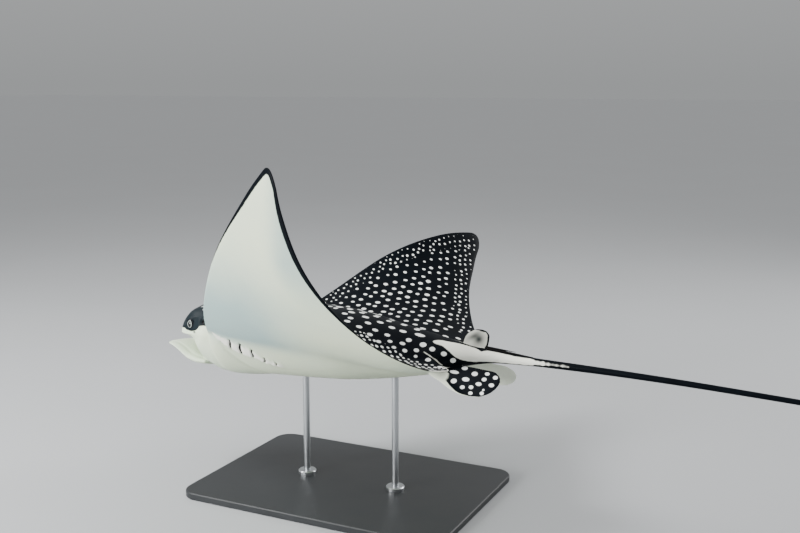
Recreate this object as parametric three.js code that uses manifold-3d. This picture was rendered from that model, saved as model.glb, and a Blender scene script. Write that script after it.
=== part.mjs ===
// Spotted eagle ray, life size, gliding on a plain display stand.
// The ray heads towards -Y, its left side is +X and up is +Z. Its shape is worked out flat, in shares
// of the disc width, with v running back from the snout and u out from the midline. Then the wings
// are bent up, and the whole animal banks a little on its two rods.
import * as THREE from 'three';
import { mergeVertices } from 'three/addons/utils/BufferGeometryUtils.js';
import Module from 'manifold-3d';

const wasm = await Module();
wasm.setup();

// Driving dimensions: millimetres and degrees, or shares of the disc width where the name ends in At
const discWidth = 1400;
const bankAngle = 4.4;
const centreAt = 0.35;
const partGap = 0.3;
const leastEdge = 0.4;
const finest = 0.05;
const cutFinest = 0.5;
const wingEdge = 1.5;
const wingRoot = 22;
const headEndAt = 0.124;
const wingStartAt = 0.1;
const trunkEndAt = 0.572;
const tailStartAt = 0.68;
const tailTipAt = 2.55;
const tailParts = 4;
const eyeRadius = 14;
const eyeAt = [0.0575, 0.0675, 0.018];
const base = { wide: 460, long: 660, thick: 16, corner: 40, chamfer: 2 };
const rod = { radius: 8, at: [0.265, 0.435], names: ['front', 'rear'] };
const collar = { radius: 22, high: 9 };
const rideHeight = 345;

// The bend of each wing: the angle at its tip, how early it comes, how much more the front has and
// how far the rear of its root hangs
const bends = {
  left: { tip: 1.428, early: 1.081, front: -0.384, droop: 0.0112 },
  right: { tip: 1.06, early: -0.022, front: -0.908, droop: 0.027 },
};
const bendStart = 0.05;
const bendSteps = 14;

// Mesh density
const topSteps = 8;
const bottomSteps = 6;
const ribs = { leading: 14, tip: 4, trailing: 13, tongue: 6 };

// ---- Curves ----

// A smooth curve through [station, value] pairs that never overshoots them
function profile(...keys) {
  const rise = keys.slice(1).map((key, i) => (key[1] - keys[i][1]) / (key[0] - keys[i][0]));
  const slope = keys.map((key, i) => {
    const before = rise[Math.max(0, i - 1)];
    const after = rise[Math.min(rise.length - 1, i)];
    return before * after <= 0 ? 0 : (2 * before * after) / (before + after);
  });
  return (at) => {
    const x = THREE.MathUtils.clamp(at, keys[0][0], keys.at(-1)[0]);
    const i = Math.max(0, keys.findIndex((key) => key[0] >= x) - 1);
    const step = keys[i + 1][0] - keys[i][0];
    const t = (x - keys[i][0]) / step;
    const bulge = slope[i] * (1 - t) ** 2 * t - slope[i + 1] * (1 - t) * t ** 2;
    return keys[i][1] + (keys[i + 1][1] - keys[i][1]) * t * t * (3 - 2 * t) + bulge * step;
  };
}

function splineThrough(...points) {
  return new THREE.SplineCurve(points.map(([u, v]) => new THREE.Vector2(u, v)));
}

// Outline of the left half of the flat disc: front edge, rear edge and the free rear tongue
const leadingEdge = splineThrough(
  [0.077, 0.129], [0.13, 0.1537], [0.22, 0.1942], [0.33, 0.2588], [0.43, 0.3391], [0.4772, 0.3831],
);
const tipEdge = new THREE.QuadraticBezierCurve(
  new THREE.Vector2(0.4772, 0.3831), new THREE.Vector2(0.4965, 0.4007), new THREE.Vector2(0.4604, 0.4063),
);
const trailingEdge = splineThrough(
  [0.4604, 0.4063], [0.42, 0.4104], [0.34, 0.428], [0.25, 0.4701], [0.15, 0.5372], [0.085, 0.5539],
);
const tongueEdge = splineThrough(
  [0.085, 0.5539], [0.0767, 0.5688], [0.0692, 0.5589], [0.05, 0.537], [0.046, 0.515],
);

// The body along its length: half width, height of the back and depth of the belly
const bodyHalf = profile(
  [0.027, 0.014], [0.034, 0.033], [0.047, 0.053], [0.07, 0.067], [0.1, 0.073], [0.127, 0.0765],
  [0.136, 0.095], [0.152, 0.122], [0.19, 0.14], [0.25, 0.15], [0.35, 0.15], [0.45, 0.092], [0.5, 0.052],
  [0.515, 0.046], [0.53, 0.04], [0.555, 0.029], [0.58, 0.017], [0.62, 0.0095], [0.68, 0.0062],
);
const backHeight = profile(
  [0.027, 0.009], [0.034, 0.022], [0.047, 0.037], [0.07, 0.05], [0.1, 0.059], [0.125, 0.062],
  [0.17, 0.0645], [0.25, 0.0665], [0.33, 0.0645], [0.385, 0.058], [0.42, 0.052], [0.46, 0.0445],
  [0.5, 0.0365], [0.53, 0.0285], [0.555, 0.021], [0.58, 0.0145], [0.62, 0.009], [0.68, 0.0062],
);
const bellyDepth = profile(
  [0.027, 0.006], [0.034, 0.014], [0.047, 0.024], [0.07, 0.04], [0.1, 0.059], [0.125, 0.067],
  [0.17, 0.066], [0.22, 0.06], [0.28, 0.0565], [0.35, 0.052], [0.42, 0.043], [0.5, 0.027],
  [0.53, 0.021], [0.555, 0.016], [0.58, 0.012], [0.62, 0.0085], [0.68, 0.0062],
);
// How full a cross-section is: half is an ellipse, more falls away to the wings
const sectionPower = profile([0.118, 0.5], [0.15, 0.8], [0.2, 1.5], [0.43, 1.5], [0.515, 0.5]);
const bodyLift = profile(
  [0.027, 0.001], [0.075, 0], [0.48, 0], [0.62, 0.012], [0.75, 0.011], [1.1, -0.001], [1.8, -0.05],
  [2.6, -0.13],
);
const tailSway = profile([0.9, 0], [1.4, 0.008], [2, 0.045], [2.6, 0.06]);
const tailHalf = profile([0.68, 0.0062], [0.8, 0.0051], [1.1, 0.0038], [1.6, 0.0025], [2.55, 0.0009]);

// ---- From the flat shape to the bent one ----

function bendAngle(bend, reach, v) {
  const share = (reach / (0.5 - bendStart)) * Math.max(0, 1 + (bend.front * (v - centreAt)) / 0.2);
  return (bend.tip * (1 + bend.early) * share) / (1 + bend.early * share);
}

// How much of the droop a place takes: the rear of the wing root, clear of the trunk
function droopAt(u, v) {
  const { smoothstep } = THREE.MathUtils;
  const out = Math.abs(u);
  return smoothstep(v, 0.4, 0.55) * smoothstep(out, 0.025, 0.085) * (1 - smoothstep(out, 0.1, 0.32));
}

// Moves a point of the flat shape, at a height over its mid-plane, to its bent place in millimetres
function bentPoint(u, v, height) {
  const side = Math.sign(u) || 1;
  const bend = side > 0 ? bends.left : bends.right;
  const reach = Math.max(0, Math.abs(u) - bendStart);
  const step = reach / bendSteps;
  let out = Math.min(Math.abs(u), bendStart);
  let up = 0;
  for (let i = 0; i < bendSteps; i += 1) {
    const angle = bendAngle(bend, (i + 0.5) * step, v);
    out += Math.cos(angle) * step;
    up += Math.sin(angle) * step;
  }
  const lean = bendAngle(bend, reach, v) * THREE.MathUtils.smoothstep(reach, 0, 0.12);
  return new THREE.Vector3(
    side * (out - Math.sin(lean) * height) * discWidth,
    (v - centreAt) * discWidth,
    (up + Math.cos(lean) * height + bodyLift(v) - bend.droop * droopAt(u, v)) * discWidth,
  );
}

// ---- Solids ----

function closedTube(rings) {
  const sides = rings[0].length;
  const middle = (ring) => ring.reduce((sum, p) => sum.add(p), new THREE.Vector3()).divideScalar(sides);
  const points = [...rings.flat(), middle(rings[0]), middle(rings.at(-1))];
  const faces = [];
  for (let i = 0; i < rings.length - 1; i += 1) {
    for (let j = 0; j < sides; j += 1) {
      const a = i * sides + j;
      const b = i * sides + ((j + 1) % sides);
      faces.push([a, b, b + sides], [a, b + sides, a + sides]);
    }
  }
  const last = (rings.length - 1) * sides;
  for (let j = 0; j < sides; j += 1) {
    const k = (j + 1) % sides;
    faces.push([points.length - 2, k, j], [points.length - 1, last + j, last + k]);
  }
  const wedge = ([a, b, c]) => points[a].dot(points[b].clone().cross(points[c]));
  const volume = faces.reduce((sum, face) => sum + wedge(face), 0);
  const geometry = new THREE.BufferGeometry().setFromPoints(points);
  geometry.setIndex(faces.flatMap(([a, b, c]) => (volume > 0 ? [a, b, c] : [a, c, b])));
  return geometry;
}

function toSolid(geometry, weld = 1e-4) {
  const bare = geometry.clone();
  bare.deleteAttribute('normal');
  bare.deleteAttribute('uv');
  const merged = mergeVertices(bare, weld);
  const vertProperties = new Float32Array(merged.attributes.position.array);
  const triVerts = new Uint32Array(merged.index.array);
  return new wasm.Manifold(new wasm.Mesh({ numProp: 3, vertProperties, triVerts }));
}

function toGeometry(solid) {
  const mesh = solid.simplify(finest).getMesh();
  const geometry = new THREE.BufferGeometry();
  geometry.setAttribute('position', new THREE.BufferAttribute(mesh.vertProperties, 3));
  geometry.setIndex(new THREE.BufferAttribute(mesh.triVerts, 1));
  return geometry;
}

// A box wide enough to take everything between two planes
function between(axis, from, to) {
  const size = new THREE.Vector3(9000, 9000, 9000);
  const middle = new THREE.Vector3();
  size[axis] = to - from;
  middle[axis] = (from + to) / 2;
  return toSolid(new THREE.BoxGeometry(...size).translate(...middle));
}

const far = 6000;
const along = (v) => (v - centreAt) * discWidth;
const cutAcross = (solid, fromAt, toAt) => solid.intersect(
  between('y', fromAt ? along(fromAt) + partGap / 2 : -far, toAt ? along(toAt) - partGap / 2 : far),
);

// Cuts from a solid what a neighbour fills, with the gap between them opened in one direction
function clearOf(solid, neighbour, direction) {
  const shift = new THREE.Vector3(...direction).setLength(partGap);
  const moved = toSolid(neighbour.clone().translate(...shift));
  const pieces = solid.subtract(toSolid(neighbour)).subtract(moved).decompose();
  const main = pieces.reduce((most, piece) => (piece.volume() > most.volume() ? piece : most));
  return toSolid(toGeometry(main), cutFinest);
}

// ---- The body: head, trunk and wings as one tube of rings ----

function smoothMax(a, b) {
  return (a ** 3 + b ** 3) ** (1 / 3);
}

// Height of the skin over and under the mid-plane, at a share w of the way out to the edge
function skinHeights(u, v, w, edge) {
  const spread = Math.min(1, Math.abs(u) / bodyHalf(v));
  const hump = (1 - spread ** 2) ** sectionPower(v);
  const inDisc = THREE.MathUtils.smoothstep(v, 0.1, 0.16) * (1 - THREE.MathUtils.smoothstep(v, 0.5, 0.57));
  const plate = (edge + (inDisc * wingRoot - edge) * Math.max(0, 1 - w) ** 1.15) / discWidth;
  const thin = Math.max(plate, leastEdge / discWidth);
  return { top: smoothMax(backHeight(v) * hump, thin), bottom: smoothMax(bellyDepth(v) * hump, thin) };
}

// One ring of skin points over a curved rib that runs from the midline out to the disc's edge
function ribRing({ from, to, turn, roundness, edge }) {
  const middle = new THREE.Vector2(to.x / 2, (from + to.y) / 2);
  const trunkSide = new THREE.Vector2(Math.min(to.x, 0.047), from + 0.003);
  const rib = new THREE.QuadraticBezierCurve(new THREE.Vector2(0, from), middle.lerp(trunkSide, turn), to);
  const skin = (step, steps, side, over) => {
    const even = step / steps;
    const w = THREE.MathUtils.lerp(even, Math.sin((even * Math.PI) / 2), roundness);
    const at = rib.getPoint(w);
    const { top, bottom } = skinHeights(at.x, at.y, w, edge);
    return bentPoint(side * at.x, at.y, over ? top : -bottom);
  };
  const ring = [];
  for (let i = -topSteps; i <= topSteps; i += 1) {
    ring.push(skin(Math.abs(i), topSteps, i < 0 ? 1 : -1, true));
  }
  for (let i = -bottomSteps; i <= bottomSteps; i += 1) {
    ring.push(skin(Math.abs(i), bottomSteps, i < 0 ? -1 : 1, false));
  }
  return ring;
}

function straightRing(v) {
  const to = new THREE.Vector2(bodyHalf(v), v);
  return ribRing({ from: v, to, turn: 0, roundness: 1, edge: leastEdge });
}

function bodyGeometry() {
  const rings = [0.027, 0.03, 0.037, 0.048, 0.062, 0.078, 0.095, 0.112].map(straightRing);
  for (let i = 0; i < ribs.leading; i += 1) {
    const t = i / ribs.leading;
    const roundness = 1 - 0.7 * THREE.MathUtils.smoothstep(t, 0, 0.3);
    const edge = wingEdge * (1.8 - 0.8 * t);
    const from = 0.128 + 0.192 * t ** 1.3;
    rings.push(ribRing({ from, to: leadingEdge.getPoint(t), turn: 0, roundness, edge }));
  }
  for (let i = 0; i < ribs.tip; i += 1) {
    const t = i / ribs.tip;
    const from = 0.32 + 0.02 * t;
    rings.push(ribRing({ from, to: tipEdge.getPoint(t), turn: 0, roundness: 0.3, edge: wingEdge }));
  }
  for (let i = 0; i < ribs.trailing; i += 1) {
    const t = i / ribs.trailing;
    const turn = THREE.MathUtils.smoothstep(t, 0.6, 1);
    const from = 0.34 + 0.155 * t;
    rings.push(ribRing({ from, to: trailingEdge.getPoint(t), turn, roundness: 0.3, edge: wingEdge }));
  }
  for (let i = 0; i <= ribs.tongue; i += 1) {
    const t = i / ribs.tongue;
    const from = 0.495 + 0.02 * t;
    const roundness = 0.3 + 0.7 * t;
    rings.push(ribRing({ from, to: tongueEdge.getPoint(t), turn: 1, roundness, edge: wingEdge }));
  }
  for (const v of [0.53, 0.55, 0.57, 0.585, 0.605, 0.635, 0.682]) {
    rings.push(straightRing(v));
  }
  return closedTube(rings);
}

// ---- Flat and round outgrowths: rings of ellipses along a line ----

// Each section is { middle, wide, thick, across, over }: two half sizes along two directions
function ellipseTube(sections, sides) {
  return closedTube(sections.map(({ middle, wide, thick, across, over }) => {
    const ring = [];
    for (let i = 0; i < sides; i += 1) {
      const angle = (i / sides) * Math.PI * 2;
      ring.push(middle.clone()
        .addScaledVector(across, wide * Math.cos(angle))
        .addScaledVector(over, thick * Math.sin(angle)));
    }
    return ring;
  }));
}

// The soft bill under the head
const billHalf = profile(
  [-0.016, 0.006], [-0.006, 0.021], [0.012, 0.035], [0.04, 0.048], [0.07, 0.054], [0.11, 0.05],
);
const billTop = profile([-0.016, -0.0285], [0.01, -0.023], [0.04, -0.024], [0.11, -0.03]);
const billBottom = profile(
  [-0.016, -0.0315], [0.016, -0.035], [0.036, -0.043], [0.055, -0.053], [0.11, -0.066],
);

function billGeometry() {
  const stations = [-0.016, -0.013, -0.008, 0, 0.01, 0.022, 0.036, 0.05, 0.065, 0.08, 0.095];
  return ellipseTube(stations.map((v) => ({
    middle: new THREE.Vector3(0, along(v), ((billTop(v) + billBottom(v)) / 2) * discWidth),
    wide: billHalf(v) * discWidth,
    thick: ((billTop(v) - billBottom(v)) / 2) * discWidth,
    across: new THREE.Vector3(1, 0, 0),
    over: new THREE.Vector3(0, 0, 1),
  })), 18);
}

// A pelvic fin: a leaf that points back and droops from the rear of the trunk
const pelvic = {
  root: [0.03, 0.511, -0.012],
  splay: 5,
  droop: { left: 44, right: 51 },
  long: 0.12,
  thick: 4,
};
const pelvicOuter = profile(
  [0, 0.004], [0.2, 0.018], [0.4, 0.029], [0.6, 0.0345], [0.8, 0.032], [0.93, 0.022], [1, 0.008],
);
const pelvicInner = profile(
  [0, 0.01], [0.3, 0.016], [0.6, 0.018], [0.85, 0.018], [0.95, 0.012], [1, 0.005],
);

function pelvicGeometry(side) {
  const splay = THREE.MathUtils.degToRad(pelvic.splay);
  const droop = THREE.MathUtils.degToRad(side > 0 ? pelvic.droop.left : pelvic.droop.right);
  const outward = new THREE.Vector3(side * Math.cos(droop), 0, -Math.sin(droop));
  const back = new THREE.Vector3(0, Math.cos(splay), 0).addScaledVector(outward, Math.sin(splay));
  const across = new THREE.Vector3(0, -Math.sin(splay), 0).addScaledVector(outward, Math.cos(splay));
  const over = new THREE.Vector3().crossVectors(back, across);
  const [u, v, z] = pelvic.root;
  const root = new THREE.Vector3(side * u * discWidth, along(v), z * discWidth);
  return ellipseTube([0, 0.1, 0.22, 0.36, 0.5, 0.64, 0.77, 0.87, 0.94, 0.98, 1].map((t) => ({
    middle: root.clone()
      .addScaledVector(back, t * pelvic.long * discWidth)
      .addScaledVector(across, ((pelvicOuter(t) - pelvicInner(t)) / 2) * discWidth),
    wide: ((pelvicOuter(t) + pelvicInner(t)) / 2) * discWidth,
    thick: pelvic.thick * (1 - 0.7 * t),
    across,
    over,
  })), 12);
}

// The small dorsal fin at the tail's root
const dorsal = { at: 0.551, long: 0.046, high: 0.028, thick: 3.2 };
const dorsalFront = profile([0, 0], [0.4, 0.05], [0.75, 0.2], [0.92, 0.38], [1, 0.55]);
const dorsalRear = profile([0, 0.85], [0.3, 0.97], [0.7, 1], [0.92, 0.9], [1, 0.75]);

function dorsalGeometry() {
  const foot = (backHeight(dorsal.at + 0.02) - 0.004) * discWidth;
  return ellipseTube([0, 0.2, 0.4, 0.6, 0.78, 0.9, 0.97, 1].map((t) => ({
    middle: new THREE.Vector3(
      0,
      along(dorsal.at + ((dorsalFront(t) + dorsalRear(t)) / 2) * dorsal.long),
      foot + bodyLift(dorsal.at + 0.02) * discWidth + t * (dorsal.high + 0.004) * discWidth,
    ),
    wide: ((dorsalRear(t) - dorsalFront(t)) / 2) * dorsal.long * discWidth,
    thick: dorsal.thick * (1 - 0.6 * t),
    across: new THREE.Vector3(0, 1, 0),
    over: new THREE.Vector3(1, 0, 0),
  })), 14);
}

// A venomous spine lying back along the top of the tail
const spines = {
  long: { at: 0.598, length: 106, half: 4.2, thick: 2.2, rise: -2.4, lift: 1 },
  short: { at: 0.595, length: 66, half: 3.4, thick: 1.8, rise: -0.5, lift: 6 },
};

function spineGeometry({ at, length, half, thick, rise, lift }) {
  const slope = THREE.MathUtils.degToRad(rise);
  const back = new THREE.Vector3(0, Math.cos(slope), Math.sin(slope));
  const across = new THREE.Vector3(1, 0, 0);
  const over = new THREE.Vector3().crossVectors(across, back);
  const foot = new THREE.Vector3(0, along(at), (backHeight(at) + bodyLift(at)) * discWidth + lift);
  return ellipseTube([0, 0.15, 0.35, 0.55, 0.75, 0.9, 1].map((t) => ({
    middle: foot.clone().addScaledVector(back, t * length),
    wide: half * (1 - t ** 2) + 0.5,
    thick: thick * (1 - t ** 2) + 0.4,
    across,
    over,
  })), 8);
}

// The whip tail
function tailGeometry() {
  const sections = [];
  const steps = 54;
  for (let i = 0; i <= steps; i += 1) {
    const v = tailStartAt - 0.01 + (tailTipAt - tailStartAt + 0.01) * (i / steps);
    sections.push({
      middle: new THREE.Vector3(tailSway(v) * discWidth, along(v), bodyLift(v) * discWidth),
      wide: tailHalf(v) * discWidth,
      thick: tailHalf(v) * discWidth,
      across: new THREE.Vector3(1, 0, 0),
      over: new THREE.Vector3(0, 0, 1),
    });
  }
  return ellipseTube(sections, 8);
}

function eyeBall(radius, side) {
  const [u, v, z] = eyeAt;
  const ball = new THREE.SphereGeometry(radius, 16, 10);
  return toSolid(ball.translate(side * u * discWidth, along(v), z * discWidth));
}

// ---- The stand ----

function baseGeometry() {
  const { wide, long, thick, corner, chamfer } = base;
  const x = wide / 2 - chamfer;
  const y = long / 2 - chamfer;
  const outline = new THREE.Shape();
  outline.moveTo(-x + corner, -y);
  outline.lineTo(x - corner, -y);
  outline.absarc(x - corner, -y + corner, corner, -Math.PI / 2, 0);
  outline.absarc(x - corner, y - corner, corner, 0, Math.PI / 2);
  outline.absarc(-x + corner, y - corner, corner, Math.PI / 2, Math.PI);
  outline.absarc(-x + corner, -y + corner, corner, Math.PI, Math.PI * 1.5);
  return new THREE.ExtrudeGeometry(outline, {
    depth: thick - 2 * chamfer,
    bevelThickness: chamfer,
    bevelSize: chamfer,
    bevelSegments: 1,
    curveSegments: 4,
  }).translate(0, 0, chamfer);
}

function rodGeometry(v) {
  const foot = base.thick + partGap;
  const high = rideHeight - foot;
  return new THREE.CylinderGeometry(rod.radius, rod.radius, high, 24)
    .rotateX(Math.PI / 2)
    .translate(0, along(v), foot + high / 2);
}

function collarGeometry(v) {
  const bore = rod.radius + partGap;
  const foot = base.thick + partGap;
  const ring = [
    [bore, 0], [collar.radius, 0], [collar.radius, collar.high - 2], [collar.radius - 2, collar.high],
    [bore, collar.high], [bore, 0],
  ];
  return new THREE.LatheGeometry(ring.map(([x, y]) => new THREE.Vector2(x, y)), 24)
    .rotateX(Math.PI / 2)
    .translate(0, along(v), foot);
}

// ---- Materials ----

const paint = {
  skin: new THREE.MeshStandardMaterial({ color: '#16242a', roughness: 0.45, metalness: 0 }),
  belly: new THREE.MeshStandardMaterial({ color: '#e4e8e0', roughness: 0.5, metalness: 0 }),
  eye: new THREE.MeshStandardMaterial({ color: '#0b0d10', roughness: 0.1, metalness: 0 }),
  spine: new THREE.MeshStandardMaterial({ color: '#4a4238', roughness: 0.55, metalness: 0 }),
  stand: new THREE.MeshStandardMaterial({ color: '#1b1c1e', roughness: 0.4, metalness: 0 }),
  steel: new THREE.MeshStandardMaterial({ color: '#b9bcc0', roughness: 0.25, metalness: 1 }),
};

function addPart(group, name, geometry, material) {
  const mesh = new THREE.Mesh(geometry, material);
  mesh.name = name;
  group.add(mesh);
}

function addSolid(group, name, solid, material) {
  addPart(group, name, toGeometry(solid), material);
}

// ---- Assembly ----

const flesh = bodyGeometry();
const body = toSolid(flesh);
const outX = wingStartAt * discWidth;
const middleStrip = body.intersect(between('x', -outX + partGap / 2, outX - partGap / 2));

function headSolid() {
  const socketRadius = eyeRadius + partGap * 1.5;
  return cutAcross(middleStrip, null, headEndAt)
    .subtract(eyeBall(socketRadius, 1))
    .subtract(eyeBall(socketRadius, -1));
}

const ray = new THREE.Group();
ray.rotation.y = -THREE.MathUtils.degToRad(bankAngle);
ray.position.z = rideHeight;

const trunk = cutAcross(middleStrip, headEndAt, trunkEndAt);
const wingLeft = body.intersect(between('x', outX + partGap / 2, far));
const wingRight = body.intersect(between('x', -far, -outX - partGap / 2));
addSolid(ray, 'head', headSolid(), paint.skin);
addSolid(ray, 'trunk', trunk, paint.skin);
addSolid(ray, 'tail_base', cutAcross(middleStrip, trunkEndAt, tailStartAt), paint.skin);
addSolid(ray, 'wing_left', wingLeft, paint.skin);
addSolid(ray, 'wing_right', wingRight, paint.skin);
addSolid(ray, 'rostral_lobe', clearOf(toSolid(billGeometry()), flesh, [0, 0, -1]), paint.belly);
addSolid(ray, 'dorsal_fin', clearOf(toSolid(dorsalGeometry()), flesh, [0, 0, 1]), paint.belly);

for (const [name, side] of [['left', 1], ['right', -1]]) {
  const fin = clearOf(toSolid(pelvicGeometry(side)), flesh, [side, 0, -1]);
  addSolid(ray, `pelvic_fin_${name}`, fin, paint.skin);
  addSolid(ray, `eye_${name}`, eyeBall(eyeRadius, side), paint.eye);
}

for (const [name, spine] of Object.entries(spines)) {
  const blade = clearOf(toSolid(spineGeometry(spine)), flesh, [0, 0, 1]);
  addSolid(ray, `tail_spine_${name}`, blade, paint.spine);
}

const tail = toSolid(tailGeometry());
for (let i = 0; i < tailParts; i += 1) {
  const at = (share) => tailStartAt + (tailTipAt - tailStartAt) * share;
  const to = i === tailParts - 1 ? null : at((i + 1) / tailParts);
  addSolid(ray, `tail_${i + 1}`, cutAcross(tail, at(i / tailParts), to), paint.skin);
}

const stand = new THREE.Group();
ray.updateMatrix();
const placedTrunk = toSolid(toGeometry(trunk).applyMatrix4(ray.matrix).translate(0, 0, -partGap));
addPart(stand, 'stand_base', baseGeometry(), paint.stand);
rod.at.forEach((v, i) => {
  addSolid(stand, `stand_rod_${rod.names[i]}`, toSolid(rodGeometry(v)).subtract(placedTrunk), paint.steel);
  addPart(stand, `stand_collar_${rod.names[i]}`, collarGeometry(v), paint.steel);
});

const model = new THREE.Group();
model.add(ray, stand);

export default model;
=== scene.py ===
import math
from types import SimpleNamespace

import bmesh
import bpy
import numpy as np
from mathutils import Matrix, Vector
from mathutils.bvhtree import BVHTree


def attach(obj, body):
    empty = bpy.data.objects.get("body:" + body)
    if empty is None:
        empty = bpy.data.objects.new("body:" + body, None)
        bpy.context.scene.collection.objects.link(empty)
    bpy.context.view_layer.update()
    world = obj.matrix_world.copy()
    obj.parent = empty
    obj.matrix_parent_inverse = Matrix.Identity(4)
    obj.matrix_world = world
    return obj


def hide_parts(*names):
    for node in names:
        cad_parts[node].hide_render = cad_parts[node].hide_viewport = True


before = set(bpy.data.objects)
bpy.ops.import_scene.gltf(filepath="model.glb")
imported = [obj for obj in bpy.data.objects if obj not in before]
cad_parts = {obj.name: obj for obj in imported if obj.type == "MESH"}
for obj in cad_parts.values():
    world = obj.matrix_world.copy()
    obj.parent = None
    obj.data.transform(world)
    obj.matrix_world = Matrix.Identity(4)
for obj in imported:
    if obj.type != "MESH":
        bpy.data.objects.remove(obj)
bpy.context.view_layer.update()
print("frame loaded:", len(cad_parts), "CAD nodes")

# Spotted eagle ray, life size. Everything is worked out flat, in shares of the disc width,
# with v running back from the snout and u out from the midline, then bent into its glide.
ray = {
    "discWidth": 1.4,          # metres
    "centreAt": 0.35,          # the station over the room's origin
    "bankAngle": 4.4,          # degrees, left wing up
    "rideHeight": 0.345,       # metres
    "bendStart": 0.05,
    "bendSteps": 14,
    "left": (1.428, 1.081, -0.384, 0.0112),   # each wing's bend: tip angle, how early, more in front,
    "right": (1.06, -0.022, -0.908, 0.027),   # and how far its rear root droops
    "wingEdge": 0.0015, "wingRoot": 0.022, "leastEdge": 0.0004,      # thicknesses in metres
    "tailFrom": 0.679, "tailTip": 2.55,
}
for part in ("wingEdge", "wingRoot", "leastEdge"):
    ray[part] /= ray["discWidth"]
rows = {
    "head": 40, "leading": 72, "tip": 8, "trailing": 62, "tongue": 20, "rear": 40,
    "tailRoot": 14, "tail": 150}
columns = {"top": 60, "bottom": 54, "tail": 24}


def profile(*keys):
    # a smooth curve through [station, value] pairs that never overshoots them
    x, y = np.array(keys, float).T
    rise = np.diff(y) / np.diff(x)
    before, after = np.r_[rise[0], rise], np.r_[rise, rise[-1]]
    total = np.where(before + after == 0, 1, before + after)
    slope = np.where(before * after <= 0, 0, 2 * before * after / total)

    def value(at):
        at = np.clip(at, x[0], x[-1])
        i = np.clip(np.searchsorted(x, at, side="left") - 1, 0, len(x) - 2)
        step = x[i + 1] - x[i]
        t = (at - x[i]) / step
        bulge = slope[i] * (1 - t) ** 2 * t - slope[i + 1] * (1 - t) * t ** 2
        return y[i] + (y[i + 1] - y[i]) * t * t * (3 - 2 * t) + bulge * step

    return value


def splineThrough(*points):
    p = np.array(points, float)

    def value(t):
        s = np.asarray(t, float) * (len(p) - 1)
        i = np.clip(np.floor(s).astype(int), 0, len(p) - 2)
        f = (s - i)[..., None]
        p0, p1, p2, p3 = (p[np.clip(i + k, 0, len(p) - 1)] for k in (-1, 0, 1, 2))
        v0, v1 = (p2 - p0) / 2, (p3 - p1) / 2
        cubic, square = 2 * p1 - 2 * p2 + v0 + v1, -3 * p1 + 3 * p2 - 2 * v0 - v1
        return cubic * f ** 3 + square * f ** 2 + v0 * f + p1

    return value


def bezier(a, b, c):
    a, b, c = (np.asarray(k, float) for k in (a, b, c))

    def value(t):
        t = np.asarray(t, float)[..., None]
        return (1 - t) ** 2 * a + 2 * (1 - t) * t * b + t ** 2 * c

    return value


def smoothstep(x, low, high):
    t = np.clip((np.asarray(x, float) - low) / (high - low), 0, 1)
    return t * t * (3 - 2 * t)


def lerp(a, b, t):
    return a + (b - a) * t


# The left half of the disc's outline, from the cheek round to the wing's rear corner, the tongue
leadingEdge = splineThrough(
    (0.077, 0.129), (0.13, 0.1537), (0.22, 0.1942), (0.33, 0.2588), (0.43, 0.3391), (0.4772, 0.3831))
tipEdge = bezier((0.4772, 0.3831), (0.4965, 0.4007), (0.4604, 0.4063))
trailingEdge = splineThrough(
    (0.4604, 0.4063), (0.42, 0.4104), (0.34, 0.428), (0.25, 0.4701), (0.15, 0.5372), (0.085, 0.5539))
tongueEdge = splineThrough(
    (0.085, 0.5539), (0.0795, 0.5618), (0.0695, 0.558), (0.052, 0.537), (0.046, 0.515))

# The body along its length: half width, height and depth, how full its sections are, and its lift and sway
bodyHalf = profile(
    (0.027, 0.014), (0.034, 0.033), (0.047, 0.053), (0.07, 0.067), (0.1, 0.073), (0.127, 0.0765),
    (0.136, 0.095), (0.152, 0.122), (0.19, 0.14), (0.25, 0.15), (0.35, 0.15), (0.45, 0.092), (0.5, 0.052),
    (0.515, 0.046), (0.53, 0.04), (0.555, 0.029), (0.58, 0.017), (0.62, 0.0095), (0.68, 0.0062))
backHeight = profile(
    (0.027, 0.009), (0.034, 0.022), (0.047, 0.037), (0.07, 0.05), (0.1, 0.059), (0.125, 0.062),
    (0.17, 0.0645), (0.25, 0.0665), (0.33, 0.0645), (0.385, 0.058), (0.42, 0.052), (0.46, 0.0445),
    (0.5, 0.0365), (0.53, 0.0285), (0.555, 0.021), (0.58, 0.0145), (0.62, 0.009), (0.68, 0.0062))
bellyDepth = profile(
    (0.027, 0.004), (0.034, 0.009), (0.047, 0.015), (0.058, 0.0205), (0.07, 0.031), (0.085, 0.0475),
    (0.1, 0.059), (0.125, 0.067), (0.17, 0.066), (0.22, 0.06), (0.28, 0.0565), (0.35, 0.052), (0.42, 0.043),
    (0.5, 0.027), (0.53, 0.021), (0.555, 0.016), (0.58, 0.012), (0.62, 0.0085), (0.68, 0.0062))
sectionPower = profile((0.118, 0.5), (0.15, 0.8), (0.2, 1.5), (0.43, 1.5), (0.515, 0.5))
throatPower = profile((0.045, 1.2), (0.066, 1.1), (0.088, 0.0))     # hollows the head over the bill
bodyLift = profile(
    (0.027, 0.001), (0.075, 0), (0.48, 0), (0.62, 0.012), (0.75, 0.011), (1.1, -0.001), (1.8, -0.05),
    (2.6, -0.13))
tailSway = profile((0.9, 0), (1.4, 0.008), (2, 0.045), (2.6, 0.06))
tailHalf = profile((0.68, 0.0062), (0.8, 0.0051), (1.1, 0.0038), (1.6, 0.0025), (2.55, 0.0009))


def bendAngle(side, reach, v):
    tip, early, front = (np.where(side > 0, a, b) for a, b in zip(ray["left"][:3], ray["right"][:3]))
    share = reach / (0.5 - ray["bendStart"]) * np.maximum(0, 1 + front * (v - ray["centreAt"]) / 0.2)
    return tip * (1 + early) * share / (1 + early * share)


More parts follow.
